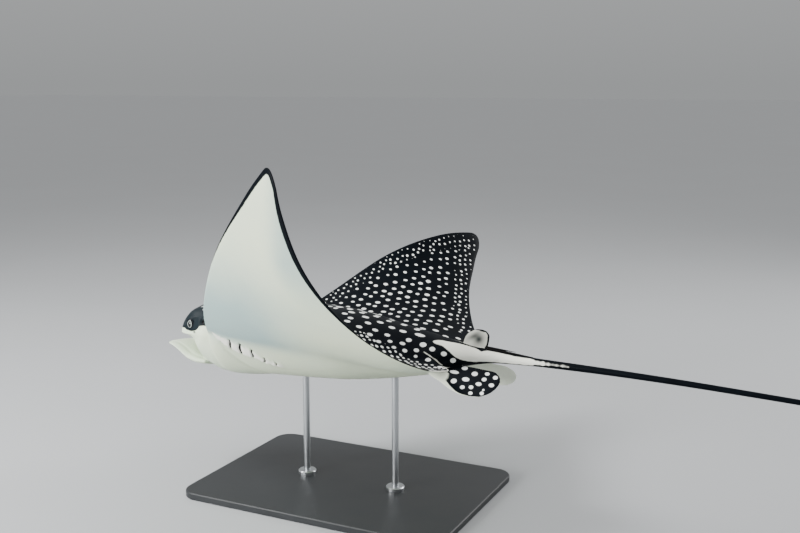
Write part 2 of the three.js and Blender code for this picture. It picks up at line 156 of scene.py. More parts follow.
def bentPoint(u, v, height):
    side = np.where(u >= 0, 1.0, -1.0)
    reach = np.maximum(0, np.abs(u) - ray["bendStart"])
    step = reach / ray["bendSteps"]
    out, up = np.minimum(np.abs(u), ray["bendStart"]), 0 * reach
    for i in range(ray["bendSteps"]):
        angle = bendAngle(side, (i + 0.5) * step, v)
        out, up = out + np.cos(angle) * step, up + np.sin(angle) * step
    lean = bendAngle(side, reach, v) * smoothstep(reach, 0, 0.12)
    nearBody = smoothstep(np.abs(u), 0.025, 0.085) * (1 - smoothstep(np.abs(u), 0.1, 0.32))
    rearRoot = smoothstep(v, 0.4, 0.55) * nearBody
    droop = np.where(side > 0, ray["left"][3], ray["right"][3]) * rearRoot
    return np.stack([
        side * (out - np.sin(lean) * height),
        v - ray["centreAt"],
        up + np.cos(lean) * height + bodyLift(v) - droop,
    ], -1) * ray["discWidth"]


def metres(place, side=1):
    # a place out, back and up on the left, or mirrored to the right, from shares to metres
    return (np.array(place, float) - (0, ray["centreAt"], 0)) * ray["discWidth"] * (side, 1, 1)


def toRoom(points):
    # banks the animal on its rods and lifts it to its height over the floor
    bank = math.radians(ray["bankAngle"])
    x, y, z = np.moveaxis(np.asarray(points, float), -1, 0)
    across = math.cos(bank) * x - math.sin(bank) * z
    return np.stack([across, y, math.sin(bank) * x + math.cos(bank) * z + ray["rideHeight"]], -1)


def skinHeights(u, v, w, edge):
    # how far the skin stands over and under the flat disc; w is the share of the way out to the margin
    spread = np.minimum(1, np.abs(u) / bodyHalf(v))
    hump = (1 - spread ** 2) ** sectionPower(v)
    throat = (1 - spread ** 2) ** (sectionPower(v) + throatPower(v))
    inDisc = smoothstep(v, 0.1, 0.16) * (1 - smoothstep(v, 0.5, 0.57))
    plate = edge + (inDisc * ray["wingRoot"] - edge) * np.maximum(0, 1 - w) ** 1.15
    plate = np.maximum(plate, ray["leastEdge"])
    return [np.cbrt(high ** 3 + plate ** 3) for high in (backHeight(v) * hump, bellyDepth(v) * throat)]


def ribTable():
    # start on the midline, end on the margin, turn, roundness and edge of each ring
    table = []
    for v in np.r_[0.0272, 0.0285, np.linspace(0.03, 0.1265, rows["head"])]:
        table.append((v, (float(bodyHalf(v)), v), 0, 1, ray["leastEdge"]))
    for t in np.arange(rows["leading"]) / rows["leading"]:
        edge = ray["wingEdge"] * (1.8 - 0.8 * t)
        table.append((0.128 + 0.192 * t ** 1.3, leadingEdge(t), 0, 1 - 0.7 * smoothstep(t, 0, 0.3), edge))
    for t in np.arange(rows["tip"]) / rows["tip"]:
        table.append((0.32 + 0.02 * t, tipEdge(t), 0, 0.3, ray["wingEdge"]))
    for t in np.arange(rows["trailing"]) / rows["trailing"]:
        table.append((0.34 + 0.155 * t, trailingEdge(t), smoothstep(t, 0.6, 1), 0.3, ray["wingEdge"]))
    for t in np.arange(rows["tongue"] + 1) / rows["tongue"]:
        table.append((0.495 + 0.02 * t, tongueEdge(t), 1, 0.3 + 0.7 * t, ray["wingEdge"]))
    for v in np.linspace(0.519, ray["tailFrom"], rows["rear"]):
        table.append((v, (float(bodyHalf(v)), v), 0, 1, ray["leastEdge"]))
    return table


def ribShares(count, roundness, length, edge):
    # how far out each column lies, with the last two kept close to the rounded margin
    even = np.arange(count + 1) / count
    w = lerp(even, np.sin(even * math.pi / 2), roundness)
    w[-2] = max(w[-2], 1 - 0.45 * edge / length)
    w[-3] = max(w[-3], 1 - 1.2 * edge / length)
    return w


def bodyGrid():
    rings, flats = [], []
    for start, end, turn, roundness, edge in ribTable():
        end = np.asarray(end, float)
        middle = np.array([end[0] / 2, (start + end[1]) / 2])
        trunkSide = np.array([min(end[0], 0.047), start + 0.003])
        rib = bezier((0, start), lerp(middle, trunkSide, turn), end)
        length = np.hypot(end[0], end[1] - start)
        ring, flat = [], []
        for over, count in ((1, columns["top"]), (-1, columns["bottom"])):
            w = ribShares(count, roundness, length, edge)
            u, v = rib(w).T
            top, bottom = skinHeights(u, v, w, edge)
            roundOff = np.sqrt(1 - np.clip(1 - (1 - w) * length / (1.2 * edge), 0, 1) ** 2)
            height = (top if over > 0 else -bottom) * roundOff
            for side, part in ((over, slice(None, 0, -1)), (-over, slice(0, -1))):
                ring.append(bentPoint(side * u[part], v[part], height[part]))
                flat.append(np.stack([side * u[part], v[part], 0 * w[part] + over, w[part]], -1))
        rings.append(np.concatenate(ring))
        flats.append(np.concatenate(flat))
    return np.array(rings), np.array(flats)


def tailRings():
    # the whip tail goes on from the body's last ring, as rings of its own
    rings, flats = [], []
    angle = np.arange(columns["tail"]) / columns["tail"] * 2 * math.pi
    last, tip = ray["tailFrom"], ray["tailTip"]
    root = np.linspace(last + 0.012, last + 0.07, rows["tailRoot"])
    whip = np.linspace(last + 0.08, tip - 0.004, rows["tail"])
    for v in np.r_[last + 0.003, last + 0.008, root, whip, tip - 0.001]:
        half = float(tailHalf(v)) * (0.6 if v > tip - 0.002 else 1)
        middle = np.array([float(tailSway(v)), v - ray["centreAt"], float(bodyLift(v))])
        side, up = np.cos(angle) * half, np.sin(angle) * half
        rings.append((middle + np.stack([side, 0 * side, up], -1)) * ray["discWidth"])
        flats.append(np.stack([side, 0 * side + v, np.where(up > 0, 1.0, -1.0), 0.5 + 0 * side], -1))
    return rings, flats


def bridge(a, b, angleA, angleB, faces):
    # triangles between two rings that have different numbers of points
    i, j = 0, 0
    while i < len(a) or j < len(b):
        nextA = angleA[i + 1] if i + 1 < len(a) else 2 * math.pi
        nextB = angleB[j + 1] if j + 1 < len(b) else 2 * math.pi
        if i < len(a) and (j >= len(b) or nextA <= nextB):
            faces.append((a[i], a[(i + 1) % len(a)], b[j % len(b)]))
            i += 1
        else:
            faces.append((a[i % len(a)], b[(j + 1) % len(b)], b[j]))
            j += 1


def gridFaces(first, rowCount, width, faces):
    for i in range(rowCount - 1):
        for j in range(width):
            a, b = first + i * width + j, first + i * width + (j + 1) % width
            faces.append((a, b, b + width, a + width))


def closeEnds(total, firstSides, lastSides, faces):
    # fans over the first and the last ring, to their middles, which are the two points after the rings
    start = total - lastSides
    for j in range(firstSides):
        faces.append((total, (j + 1) % firstSides, j))
    for j in range(lastSides):
        faces.append((total + 1, start + j, start + (j + 1) % lastSides))


def fleshTube():
    grid, flats = bodyGrid()
    rowCount, width, _ = grid.shape
    points, flat = [grid.reshape(-1, 3)], [flats.reshape(-1, 4)]
    faces = []
    gridFaces(0, rowCount, width, faces)
    tail, tailFlats = tailRings()
    firstTail = rowCount * width
    points += tail
    flat += tailFlats
    gridFaces(firstTail, len(tail), columns["tail"], faces)
    lastRing = grid[-1]
    middle = lastRing.mean(0)
    angle = np.unwrap(np.arctan2(lastRing[:, 2] - middle[2], lastRing[:, 0] - middle[0]))
    angle = np.abs(angle - angle[0])
    a = list(range(firstTail - width, firstTail))
    b = list(range(firstTail, firstTail + columns["tail"]))
    bridge(a, b, angle, np.arange(columns["tail"]) / columns["tail"] * 2 * math.pi, faces)
    points += [grid[0].mean(0)[None], tail[-1].mean(0)[None]]
    flat += [np.array([[0, 0.027, 1, 0.5]]), np.array([[0, ray["tailTip"], 1, 0.5]])]
    closeEnds(firstTail + len(tail) * columns["tail"], width, columns["tail"], faces)
    return np.concatenate(points), faces, np.concatenate(flat)


def sectionTube(middles, wides, thicks, across, over, sides, lens=1.0):
    # oval sections along a row of middles; lens above 1 thins each one towards its two edges
    angle = np.arange(sides) / sides * 2 * math.pi
    out = np.cos(angle)
    up = np.sign(np.sin(angle)) * np.abs(np.sin(angle)) ** lens
    rings = (middles[:, None] + wides[:, None, None] * out[None, :, None] * across
             + thicks[:, None, None] * up[None, :, None] * over)
    faces = []
    gridFaces(0, len(rings), sides, faces)
    closeEnds(len(rings) * sides, sides, sides, faces)
    points = np.concatenate([rings.reshape(-1, 3), rings[0].mean(0)[None], rings[-1].mean(0)[None]])
    share = np.repeat(np.linspace(0, 1, len(rings)), sides)
    along = np.r_[share, 0, 1]
    outAt = np.r_[np.tile(out, len(rings)), 0, 0]
    upAt = np.r_[np.tile(up, len(rings)), 0, 0]
    return points, faces, along, outAt, upAt


bill = {
    "front": -0.016, "long": 0.111, "furrow": 0.0018,       # shares, and the furrows' depth in metres
    "half": profile(
        (-0.016, 0.006), (-0.006, 0.021), (0.012, 0.035), (0.04, 0.048), (0.07, 0.054), (0.11, 0.05)),
    "top": profile((-0.016, -0.029), (0.01, -0.0245), (0.03, -0.027), (0.06, -0.034), (0.11, -0.04)),
    "bottom": profile(
        (-0.016, -0.0315), (0.006, -0.0325), (0.02, -0.0342), (0.034, -0.0385), (0.047, -0.046),
        (0.058, -0.052), (0.08, -0.057), (0.095, -0.0562)),
    "rings": 70, "sides": 72,
}


def billTube():
    # the shovel-shaped lobe under the snout
    v = bill["front"] + bill["long"] * np.linspace(0, 1, bill["rings"]) ** 1.25
    half, top, bottom = bill["half"](v), bill["top"](v), bill["bottom"](v)
    frontRound = np.sqrt(np.clip((v - bill["front"] + 0.0005) / 0.003, 0, 1))
    middles = np.stack([0 * v, v - ray["centreAt"], (top + bottom) / 2], -1) * ray["discWidth"]
    wides = half * frontRound * ray["discWidth"]
    thicks = (top - bottom) / 2 * frontRound * ray["discWidth"]
    return sectionTube(middles, wides, thicks, np.array([1.0, 0, 0]), np.array([0, 0, 1.0]), bill["sides"])


pelvic = {
    "root": (0.03, 0.511, -0.012), "long": 0.12, "thick": 0.004,
    "splay": 5, "droop": {1: 44, -1: 51},      # degrees outward, and down on each side
    "outer": profile(
        (0, 0.01), (0.1, 0.0145), (0.2, 0.0185), (0.4, 0.029), (0.6, 0.0345), (0.8, 0.032), (0.93, 0.022),
        (1, 0.008)),
    "inner": profile((0, 0.01), (0.3, 0.016), (0.6, 0.018), (0.85, 0.018), (0.95, 0.012), (1, 0.005)),
    "rings": 80, "sides": 56,
}


def pelvicTube(side):
    splay, droop = math.radians(pelvic["splay"]), math.radians(pelvic["droop"][side])
    outward = np.array([side * math.cos(droop), 0, -math.sin(droop)])
    back = np.array([0, math.cos(splay), 0]) + outward * math.sin(splay)
    across = np.array([0, -math.sin(splay), 0]) + outward * math.cos(splay)
    over = np.cross(back, across)
    root = metres(pelvic["root"], side)
    t = np.sin(np.linspace(0, 1, pelvic["rings"]) * math.pi / 2) ** 1.2
    outer, inner = pelvic["outer"](t), pelvic["inner"](t)
    tipRound = np.sqrt(np.clip((1 - t) / 0.02, 0, 1)) * 0.6 + 0.4
    offset = t[:, None] * back * pelvic["long"] + ((outer - inner) / 2)[:, None] * across
    middles = root + offset * ray["discWidth"]
    wides = (outer + inner) / 2 * tipRound * ray["discWidth"]
    thicks = pelvic["thick"] * (1 - 0.7 * t) * tipRound
    points, faces, _, out, up = sectionTube(middles, wides, thicks, across, over, pelvic["sides"], 1.3)
    along = np.r_[np.repeat(t, pelvic["sides"]), 0, 1]
    # each point's own place: metres back, out and from the margin, and its upper or lower face
    margin = np.interp(along, t, wides) * (1 - np.abs(out))
    return points, faces, (points - root) @ back, (points - root) @ across, margin, -up * side


dorsal = {
    "at": 0.551, "long": 0.046, "high": 0.028, "thick": 0.0032,
    "front": profile((0, 0), (0.4, 0.05), (0.75, 0.2), (0.92, 0.38), (1, 0.55)),
    "rear": profile((0, 0.85), (0.3, 0.97), (0.7, 1), (0.92, 0.9), (1, 0.75)),
    "rings": 60, "sides": 72,
}


def dorsalTube():
    sunk, middle = 0.004, dorsal["at"] + 0.02
    foot = float(backHeight(middle)) - sunk + float(bodyLift(middle))
    t = np.sin(np.linspace(0, 1, dorsal["rings"]) * math.pi / 2)
    front, rear = dorsal["front"](t), dorsal["rear"](t)
    along = dorsal["at"] + (front + rear) / 2 * dorsal["long"]
    tipRound = np.sqrt(np.clip((1 - t) / 0.01, 0, 1)) * 0.7 + 0.3
    high = foot + t * (dorsal["high"] + sunk)
    middles = np.stack([0 * t, along - ray["centreAt"], high], -1) * ray["discWidth"]
    wides = (rear - front) / 2 * dorsal["long"] * ray["discWidth"] * tipRound
    thicks = dorsal["thick"] * (1 - 0.6 * t) * tipRound
    points, faces, _, out, up = sectionTube(
        middles, wides, thicks, np.array([0, 1.0, 0]), np.array([1.0, 0, 0]), dorsal["sides"], 1.3)
    share = np.r_[np.repeat(t, dorsal["sides"]), 0, 1]
    halfAt = np.interp(share, t, wides)
    margin = np.minimum(halfAt * (1 - np.abs(out)), (1 - share) * dorsal["high"] * ray["discWidth"])
    return points, faces, share, out, margin


def makeObject(name, points, faces):
    mesh = bpy.data.meshes.new(name)
    mesh.from_pydata([tuple(p) for p in points], [], faces)
    mesh.validate()
    work = bmesh.new()
    work.from_mesh(mesh)
    bmesh.ops.recalc_face_normals(work, faces=work.faces)
    work.to_mesh(mesh)
    work.free()
    thing = bpy.data.objects.new(name, mesh)
    bpy.context.scene.collection.objects.link(thing)
    return thing


def vertexArray(mesh, what="vertices", field="co"):
    numbers = np.empty(len(getattr(mesh, what)) * 3, np.float32)
    getattr(mesh, what).foreach_get(field, numbers)
    return numbers.reshape(-1, 3).astype(float)


def setVertices(mesh, points):
    mesh.vertices.foreach_set("co", np.asarray(points, np.float32).ravel())
    mesh.update()


tubes = {
    "body": fleshTube(), "bill": billTube(), "finLeft": pelvicTube(1), "finRight": pelvicTube(-1),
    "dorsal": dorsalTube()}
sources = {}
for name, tube in tubes.items():
    triangles = [(face[0], *pair) for face in tube[1] for pair in zip(face[1:], face[2:])]
    sources[name] = {
        "object": makeObject("source_" + name, tube[0], tube[1]),
        "tree": BVHTree.FromPolygons([tuple(p) for p in tube[0]], triangles),
        "triangles": np.array(triangles), "points": tube[0], "low": tube[0].min(0), "high": tube[0].max(0),
        "values": tube[2] if name == "body" else np.stack(tube[2:], -1),
    }
print("sections swept:", {name: len(tube[1]) for name, tube in tubes.items()})

# Where the fine features of the left side lie, in shares of the disc width; their sizes are in metres
eye = {
    "radius": 0.014, "at": (0.0572, 0.0724, 0.0185), "faces": (1.0, -0.03, -0.045),
    "opening": (0.0096, 0.0099), "lid": 0.0009, "lidReach": 0.0128, "ring": 0.0116, "orbit": 0.03,
    "iris": (0.0065, 0.009), "pupil": (0.0048, 0.0078), "segments": 64, "rings": 48,
}
gills = {       # a raised strip on the flat outline, tapering back, with five slits across it
    "from": 0.165, "to": 0.285,
    "middle": profile(
        (0.165, 0.131), (0.172, 0.128), (0.195, 0.1185), (0.212, 0.113), (0.2326, 0.108), (0.2494, 0.0972),
        (0.267, 0.0903), (0.285, 0.085)),
    "half": profile(
        (0.165, 0.004), (0.172, 0.006), (0.195, 0.0105), (0.212, 0.011), (0.2326, 0.008), (0.25, 0.006),
        (0.267, 0.0035), (0.285, 0.002)),
    "slits": [
        ((0.128, 0.1986), (0.1088, 0.1915)), ((0.1237, 0.2166), (0.1023, 0.2077)),
        ((0.1157, 0.2358), (0.1007, 0.2294)), ((0.1029, 0.2522), (0.0915, 0.2466)),
        ((0.0934, 0.2679), (0.0873, 0.2663))],
    "slitHalf": (0.0025, 0.0029, 0.0023, 0.0017, 0.0014), "deep": 0.0026, "raise": 0.0035,
}
swells = [      # brow, cheek, and the hollow between them: place in shares, reach and height in metres
    {"at": (0.05, 0.064, 0.038), "reach": 0.024, "high": 0.0065},
    {"at": (0.0725, 0.108, 0.006), "reach": 0.02, "high": 0.0055},
    {"at": (0.07, 0.093, -0.004), "reach": 0.011, "high": -0.003},
]
pores = {       # throat crease, mouth, nostrils, spiracle and vent: lines in shares, grooves in metres
    "crease": {
        "line": [(0.118, 0.1755), (0.108, 0.1775), (0.086, 0.1905), (0.066, 0.2025), (0.045, 0.218)],
        "half": 0.0035, "deep": 0.0035, "side": -1, "dark": False},
    "mouth": {
        "line": [(0, 0.103), (0.016, 0.1025), (0.03, 0.099)], "half": 0.0016, "deep": 0.004, "side": -1},
    "nostril": {"line": [(0.026, 0.084), (0.034, 0.079)], "half": 0.0014, "deep": 0.003, "side": -1},
    "spiracle": {"line": [(0.0655, 0.098), (0.067, 0.108)], "half": 0.0048, "deep": 0.006, "side": 1},
    "vent": {"line": [(0, 0.487), (0, 0.499)], "half": 0.0016, "deep": 0.003, "side": -1},
}

# Where the dark back ends on the head and on the tail's root, and the large spots of the hind body
headLine = profile(
    (0.03, 0.006), (0.045, 0.008), (0.057, 0.0095), (0.065, 0.0074), (0.076, 0.007), (0.0847, 0.0085),
    (0.0915, 0.0112), (0.0946, 0.014), (0.0965, 0.0178), (0.1041, 0.0195), (0.12, 0.018), (0.132, 0.004))
flank = {       # white side of the tail's root: how far out it begins, and above what height it lies
    "stripe": profile(
        (0.5, 0.05), (0.509, 0.027), (0.52, 0.0155), (0.5354, 0.0111), (0.5588, 0.0054), (0.5761, 0.006),
        (0.588, 0.0098), (0.597, 0.005), (0.6157, 0.0042), (0.6473, 0.0048), (0.672, 0.0042), (0.74, 0.0036)),
    "low": profile(
        (0.509, 0.031), (0.5186, 0.0274), (0.5303, 0.0247), (0.5439, 0.0169), (0.5544, 0.0101),
        (0.5666, 0.0056), (0.5786, 0.0038), (0.5893, 0.005), (0.6183, 0.0062), (0.66, 0.0068),
        (0.68, 0.0082), (0.74, 0.0092)),
    "from": 0.511, "fadesFrom": 0.668, "fadesTo": 0.79, "dash": 0.0125, "endsAt": 0.75,
}
trunkSpots = [      # out, back and up in shares of the disc width, half length and half width in metres
    (0.0342, 0.4996, 0.0252, 0.0078, 0.0064), (0.0364, 0.5166, 0.0207, 0.0068, 0.0058),
    (0.0343, 0.5355, 0.0146, 0.0066, 0.0054), (0.0311, 0.5502, 0.0051, 0.0064, 0.0056),
    (0.0185, 0.4862, 0.0367, 0.0135, 0.0055), (0.0239, 0.4591, 0.0406, 0.0089, 0.0049),
    (0.0242, 0.4393, 0.0447, 0.0084, 0.0047), (0.021, 0.4167, 0.0504, 0.0084, 0.0047),
    (0.036, 0.4754, 0.0301, 0.0066, 0.0056), (0.0452, 0.469, 0.0252, 0.0071, 0.0042),
    (0.0443, 0.493, 0.017, 0.006, 0.0045), (0.0484, 0.5154, 0.0048, 0.0064, 0.0058),
    (0.0626, 0.542, -0.0006, 0.0058, 0.0048), (0.043, 0.4408, 0.0354, 0.0071, 0.0042),
    (0.0509, 0.4498, 0.0274, 0.0063, 0.0038), (0.0521, 0.4767, 0.0158, 0.0058, 0.0044),
    (0.0565, 0.4595, 0.0198, 0.0058, 0.0035), (0.0515, 0.4958, 0.0095, 0.0052, 0.0042),
    (0.004, 0.4745, 0.043, 0.0075, 0.005), (0.002, 0.4495, 0.047, 0.0076, 0.0042),
    (0.006, 0.425, 0.0515, 0.007, 0.0042), (0.0154, 0.3607, 0.061, 0.0086, 0.0052),
    (0.0014, 0.3287, 0.0648, 0.0081, 0.005), (0.0191, 0.3885, 0.0559, 0.0092, 0.0052),
    (0.0476, 0.3706, 0.0515, 0.0078, 0.0047), (0.0511, 0.3944, 0.045, 0.0078, 0.0047),
    (0.0564, 0.4165, 0.0354, 0.0073, 0.0044), (0.0442, 0.4197, 0.0417, 0.0073, 0.0044),
    (0.0348, 0.4016, 0.0496, 0.008, 0.0047), (0.0598, 0.4341, 0.0265, 0.0067, 0.0039),
    (0.0275, 0.3546, 0.0593, 0.0073, 0.0047), (0.0363, 0.3703, 0.0545, 0.0073, 0.0045),
    (0.0032, 0.3995, 0.056, 0.0073, 0.0042), (0.0045, 0.374, 0.06, 0.0073, 0.0044),
    (0.0018, 0.3495, 0.063, 0.0071, 0.0044), (0.0364, 0.0781, 0.046, 0.0045, 0.0042),
    (0.046, 0.089, 0.0425, 0.005, 0.0042), (0.018, 0.0885, 0.0535, 0.0045, 0.0042),
]
rimHighlightLine = [        # painted highlight: a thin pale line along the wing's rear corner, where its rim catches the light
    (0.0424, 0.5053, 0.0153), (0.0431, 0.5109, 0.0129), (0.0433, 0.5162, 0.0104), (0.0433, 0.5214, 0.0078),
    (0.0413, 0.5257, 0.0049), (0.0396, 0.5303, 0.0004), (0.0366, 0.5342, -0.0028)]
finSpots = [        # back and out from the fin's root, half length and half width, all in metres
    (0.078, -0.018, 0.007, 0.0052), (0.106, -0.009, 0.007, 0.0056), (0.132, 0.0, 0.0055, 0.0047),
    (0.133, -0.0155, 0.0054, 0.0042), (0.154, -0.0106, 0.0054, 0.005), (0.153, 0.01, 0.006, 0.0047),
    (0.1246, 0.0142, 0.007, 0.0047), (0.1117, 0.0257, 0.0054, 0.0046), (0.0926, 0.0097, 0.0086, 0.0052),
    (0.0929, 0.0304, 0.0054, 0.0046), (0.0682, 0.0201, 0.0068, 0.0058), (0.1159, 0.0397, 0.005, 0.004),
    (0.1402, 0.0345, 0.0044, 0.0042), (0.1404, 0.0256, 0.0028, 0.0026), (0.06, -0.002, 0.011, 0.0042),
]


def segmentGap(points, a, b):
    # distance to a straight piece, and how far along it
    a, b = np.asarray(a, float), np.asarray(b, float)
    along = np.clip(((points - a) @ (b - a)) / max(1e-12, ((b - a) ** 2).sum()), 0, 1)
    return np.linalg.norm(points - a - along[:, None] * (b - a), axis=1), along


def lineGap(points, line):
    # distance to a line of straight pieces
    return np.min([segmentGap(points, a, b)[0] for a, b in zip(line, line[1:])], 0)


def slitLine(ends, number):
    # a short wavy line between two flat places, in metres, with its own wave for each slit
    a, b = np.array(ends) * ray["discWidth"]
    wave = np.array([0.0, 0.0013])
    return [a + (b - a) * t + wave * math.sin(6.5 * t + 1.7 * number) for t in np.linspace(0, 1, 6)]


def edgeEnds(mesh):
    corners = np.empty(len(mesh.edges) * 2, np.int32)
    mesh.edges.foreach_get("vertices", corners)
    return corners.reshape(-1, 2)


def refine(mesh, zones):
    # splits long edges near a place: each zone has a centre, a reach and the longest edge wanted
    for _ in range(3):
        ends = vertexArray(mesh)[edgeEnds(mesh)]
        middle, length = ends.mean(1), np.linalg.norm(ends[:, 0] - ends[:, 1], axis=1)
        long = np.zeros(len(length), bool)
        for centre, reach, finest in zones:
            long |= (np.linalg.norm(middle - centre, axis=1) < reach) & (length > finest)
        work = bmesh.new()
        work.from_mesh(mesh)
        work.edges.ensure_lookup_table()
        tooLong = [work.edges[i] for i in np.flatnonzero(long)]
        bmesh.ops.subdivide_edges(work, edges=tooLong, cuts=1, use_grid_fill=False)
        bmesh.ops.triangulate(work, faces=[f for f in work.faces if len(f.verts) > 3])
        work.to_mesh(mesh)
        work.free()


def fineZones():
    # places where the skin needs a finer mesh: eyes, gill slits, placed spots, the painted highlight line
    # over the rear corner, and rear corners
    zones = []
    for side in (1, -1):
        zones.append((metres(np.add(eye["at"], (0.007, 0, 0)), side), 0.019, 0.002))
        for i, ends in enumerate(gills["slits"]):
            for place in slitLine(ends, i):
                u, v = place / ray["discWidth"]
                guess = bentPoint(side * u, v, -skinHeights(u, v, 0.9, ray["leastEdge"])[1])
                onSkin = sources["body"]["tree"].find_nearest(Vector(guess))[0]
                zones.append((np.array(onSkin), 0.006, 0.0012))
        zones += [(metres(spot[:3], side), 0.011, 0.0042) for spot in trunkSpots]
        rimHighlight = splineThrough(*rimHighlightLine)(np.linspace(0, 1, 24))
        zones += [(metres(place, side), 0.005, 0.0013) for place in rimHighlight]
        zones += [(bentPoint(side * u, v, 0.0), 0.009, 0.0022) for u, v in tongueEdge(np.linspace(0, 1, 16))]
    return zones


def uniteSkin():
    body = sources["body"]["object"]
    for name in ("bill", "finLeft", "finRight", "dorsal"):
        join = body.modifiers.new("join " + name, "BOOLEAN")
        join.operation = "UNION"
        join.solver = "MANIFOLD"
        join.object = sources[name]["object"]
    bpy.context.view_layer.update()
    graph = bpy.context.evaluated_depsgraph_get()
    mesh = bpy.data.meshes.new_from_object(body.evaluated_get(graph))
    work = bmesh.new()
    work.from_mesh(mesh)
    bmesh.ops.triangulate(work, faces=work.faces)
    bmesh.ops.dissolve_degenerate(work, dist=1e-5, edges=work.edges)
    bmesh.ops.triangulate(work, faces=[f for f in work.faces if len(f.verts) > 3])
    work.to_mesh(mesh)
    work.free()
    for source in sources.values():
        bpy.data.objects.remove(source["object"])
    refine(mesh, fineZones())
    return mesh


def cornerShares(place, corners):
    # how much each corner of a triangle counts at a place on it
    a, b, c = corners[:, 0], corners[:, 1], corners[:, 2]
    across = np.cross(b - a, c - a)
    whole = np.maximum((across ** 2).sum(1), 1e-20)
    shares = [(np.cross(q - p, place - p) * across).sum(1) / whole for p, q in ((b, c), (c, a), (a, b))]
    shares = np.clip(np.stack(shares, -1), 0, None)
    return shares / np.maximum(shares.sum(1, keepdims=True), 1e-9)


def nearestValues(points):
    # which piece each skin point came from, that piece's own values there, and how far the next piece is
    piece, values = np.zeros(len(points), int), np.zeros((len(points), 4))
    best, second = np.full(len(points), 1e9), np.full(len(points), 1e9)
    for k, source in enumerate(sources.values()):
        inBox = (points > source["low"] - 0.02) & (points < source["high"] + 0.02)
        near = np.flatnonzero(np.all(inBox, 1))
        hits = [source["tree"].find_nearest(Vector(points[i])) for i in near]
        far = np.array([hit[3] for hit in hits])
        triangles = source["triangles"][[hit[2] for hit in hits]]
        shares = cornerShares(np.array([hit[0] for hit in hits]), source["points"][triangles])
        own = (source["values"][triangles] * shares[..., None]).sum(1)
        closer = far < best[near]
        second[near] = np.where(closer, best[near], np.minimum(second[near], far))
        at = near[closer]
        best[at], piece[at] = far[closer], k
        values[at, :own.shape[1]] = own[closer]
    return piece, values, second


def smoothJunctions(mesh, points, piece, values, second):
    # rounds the creases where the outgrowths meet the body, and where the trunk leaves the disc
    edges = edgeEnds(mesh)
    count = np.bincount(edges.ravel(), minlength=len(points)).astype(float)
    zone = np.zeros(len(points))
    for k, far in {1: 0.005, 2: 0.012, 3: 0.012, 4: 0.006}.items():     # metres of rounding for each piece
        source = list(sources.values())[k]
        seed = points[(second < 1e-4) & np.isin(piece, (0, k))]
        seed = seed[np.all((seed > source["low"] - far) & (seed < source["high"] + far), 1)]
        if not len(seed):
            continue
        near = np.flatnonzero(np.all((points > seed.min(0) - far) & (points < seed.max(0) + far), 1))
        gap = np.sqrt(((points[near][:, None] - seed[None]) ** 2).sum(-1).min(1))
        zone[near] = np.maximum(zone[near], np.clip(1 - gap / far, 0, 1))
    leaves = 1 - smoothstep(np.abs(values[:, 1] - 0.517), 0.009, 0.024)
    leaves = leaves * (1 - smoothstep(np.abs(values[:, 0]), 0.04, 0.045))
    zone = np.maximum(zone, np.where(piece == 0, leaves, 0))
    for _ in range(30):
        total = np.zeros_like(points)
        np.add.at(total, edges[:, 0], points[edges[:, 1]])
        np.add.at(total, edges[:, 1], points[edges[:, 0]])
        points = points + (total / count[:, None] - points) * (zone * 0.6)[:, None]
    return points


def flatPlace(points, piece, values):
    # outward share, station and upper or lower face of every skin point; fins count as an underside
    onBody = piece == 0
    u = np.where(onBody, np.abs(values[:, 0]), np.abs(points[:, 0]) / ray["discWidth"])
    v = np.where(onBody, values[:, 1], points[:, 1] / ray["discWidth"] + ray["centreAt"])
    over = np.where(onBody, values[:, 2], -1)
    return u, v, over


def grooveDepths(points, piece, values):
    # how deep each groove cuts in, and how far inside an opening a point lies, for its painted shade, both in
    # metres
    u, v, over = flatPlace(points, piece, values)
    flat = np.stack([u, v], -1) * ray["discWidth"]
    depth, inside = np.zeros(len(points)), np.full(len(points), -1.0)
    grooves = [{**pore, "line": np.array(pore["line"]) * ray["discWidth"]} for pore in pores.values()]
    for i, ends in enumerate(gills["slits"]):
        line = np.array(slitLine(ends, i))
        grooves.append({"line": line, "half": gills["slitHalf"][i], "deep": gills["deep"], "side": -1})
    for groove in grooves:
        line, half = groove["line"], groove["half"]
        low, high = line.min(0) - 0.02, line.max(0) + 0.02
        near = np.flatnonzero(np.all((flat > low) & (flat < high), 1) & (over * groove["side"] > 0))
        gap = lineGap(flat[near], line)
        along = np.clip(segmentGap(flat[near], line[0], line[-1])[1], 0.05, 0.95)
        half = half * (0.6 + 0.4 * np.sin(math.pi * along))
        cut = groove["deep"] * (1 - smoothstep(gap, 0.3 * half, 2.4 * half))
        depth[near] = np.maximum(depth[near], cut)
        # openings get painted shade inside, the crease none
        if groove.get("dark", True):
            inside[near] = np.maximum(inside[near], half - gap)
    return depth, inside


def gillStrip(points, piece, values):
    # how far across the gill strip a point lies: 0 on its middle, 1 at its upper edge, -1 at its lower
    u, v, over = flatPlace(points, piece, values)
    share = (u - gills["middle"](v)) / gills["half"](v)
    return np.where((over < 0) & (piece == 0) & (v > gills["from"]) & (v < gills["to"]), share, 9.0)


def eyeAxes(side):
    # the eye's centre in metres, the way it faces, and the directions across and up from there
    axis = np.array(eye["faces"]) * (side, 1, 1)
    axis /= np.linalg.norm(axis)
    up = np.array([0, 0, 1.0]) - axis * axis[2]
    up /= np.linalg.norm(up)
    return metres(eye["at"], side), axis, np.cross(up, axis), up


def eyeSpread(points):
    # distance off the eye's own axis, on its outer side
    centre, axis, _, _ = eyeAxes(1)
    place = points * np.where(points[:, :1] < 0, (-1.0, 1.0, 1.0), (1.0, 1.0, 1.0)) - centre
    along = place @ axis
    spread = np.linalg.norm(place - along[:, None] * axis, axis=1)
    return np.where((along > 0) & (along < 0.03), spread, 1.0)


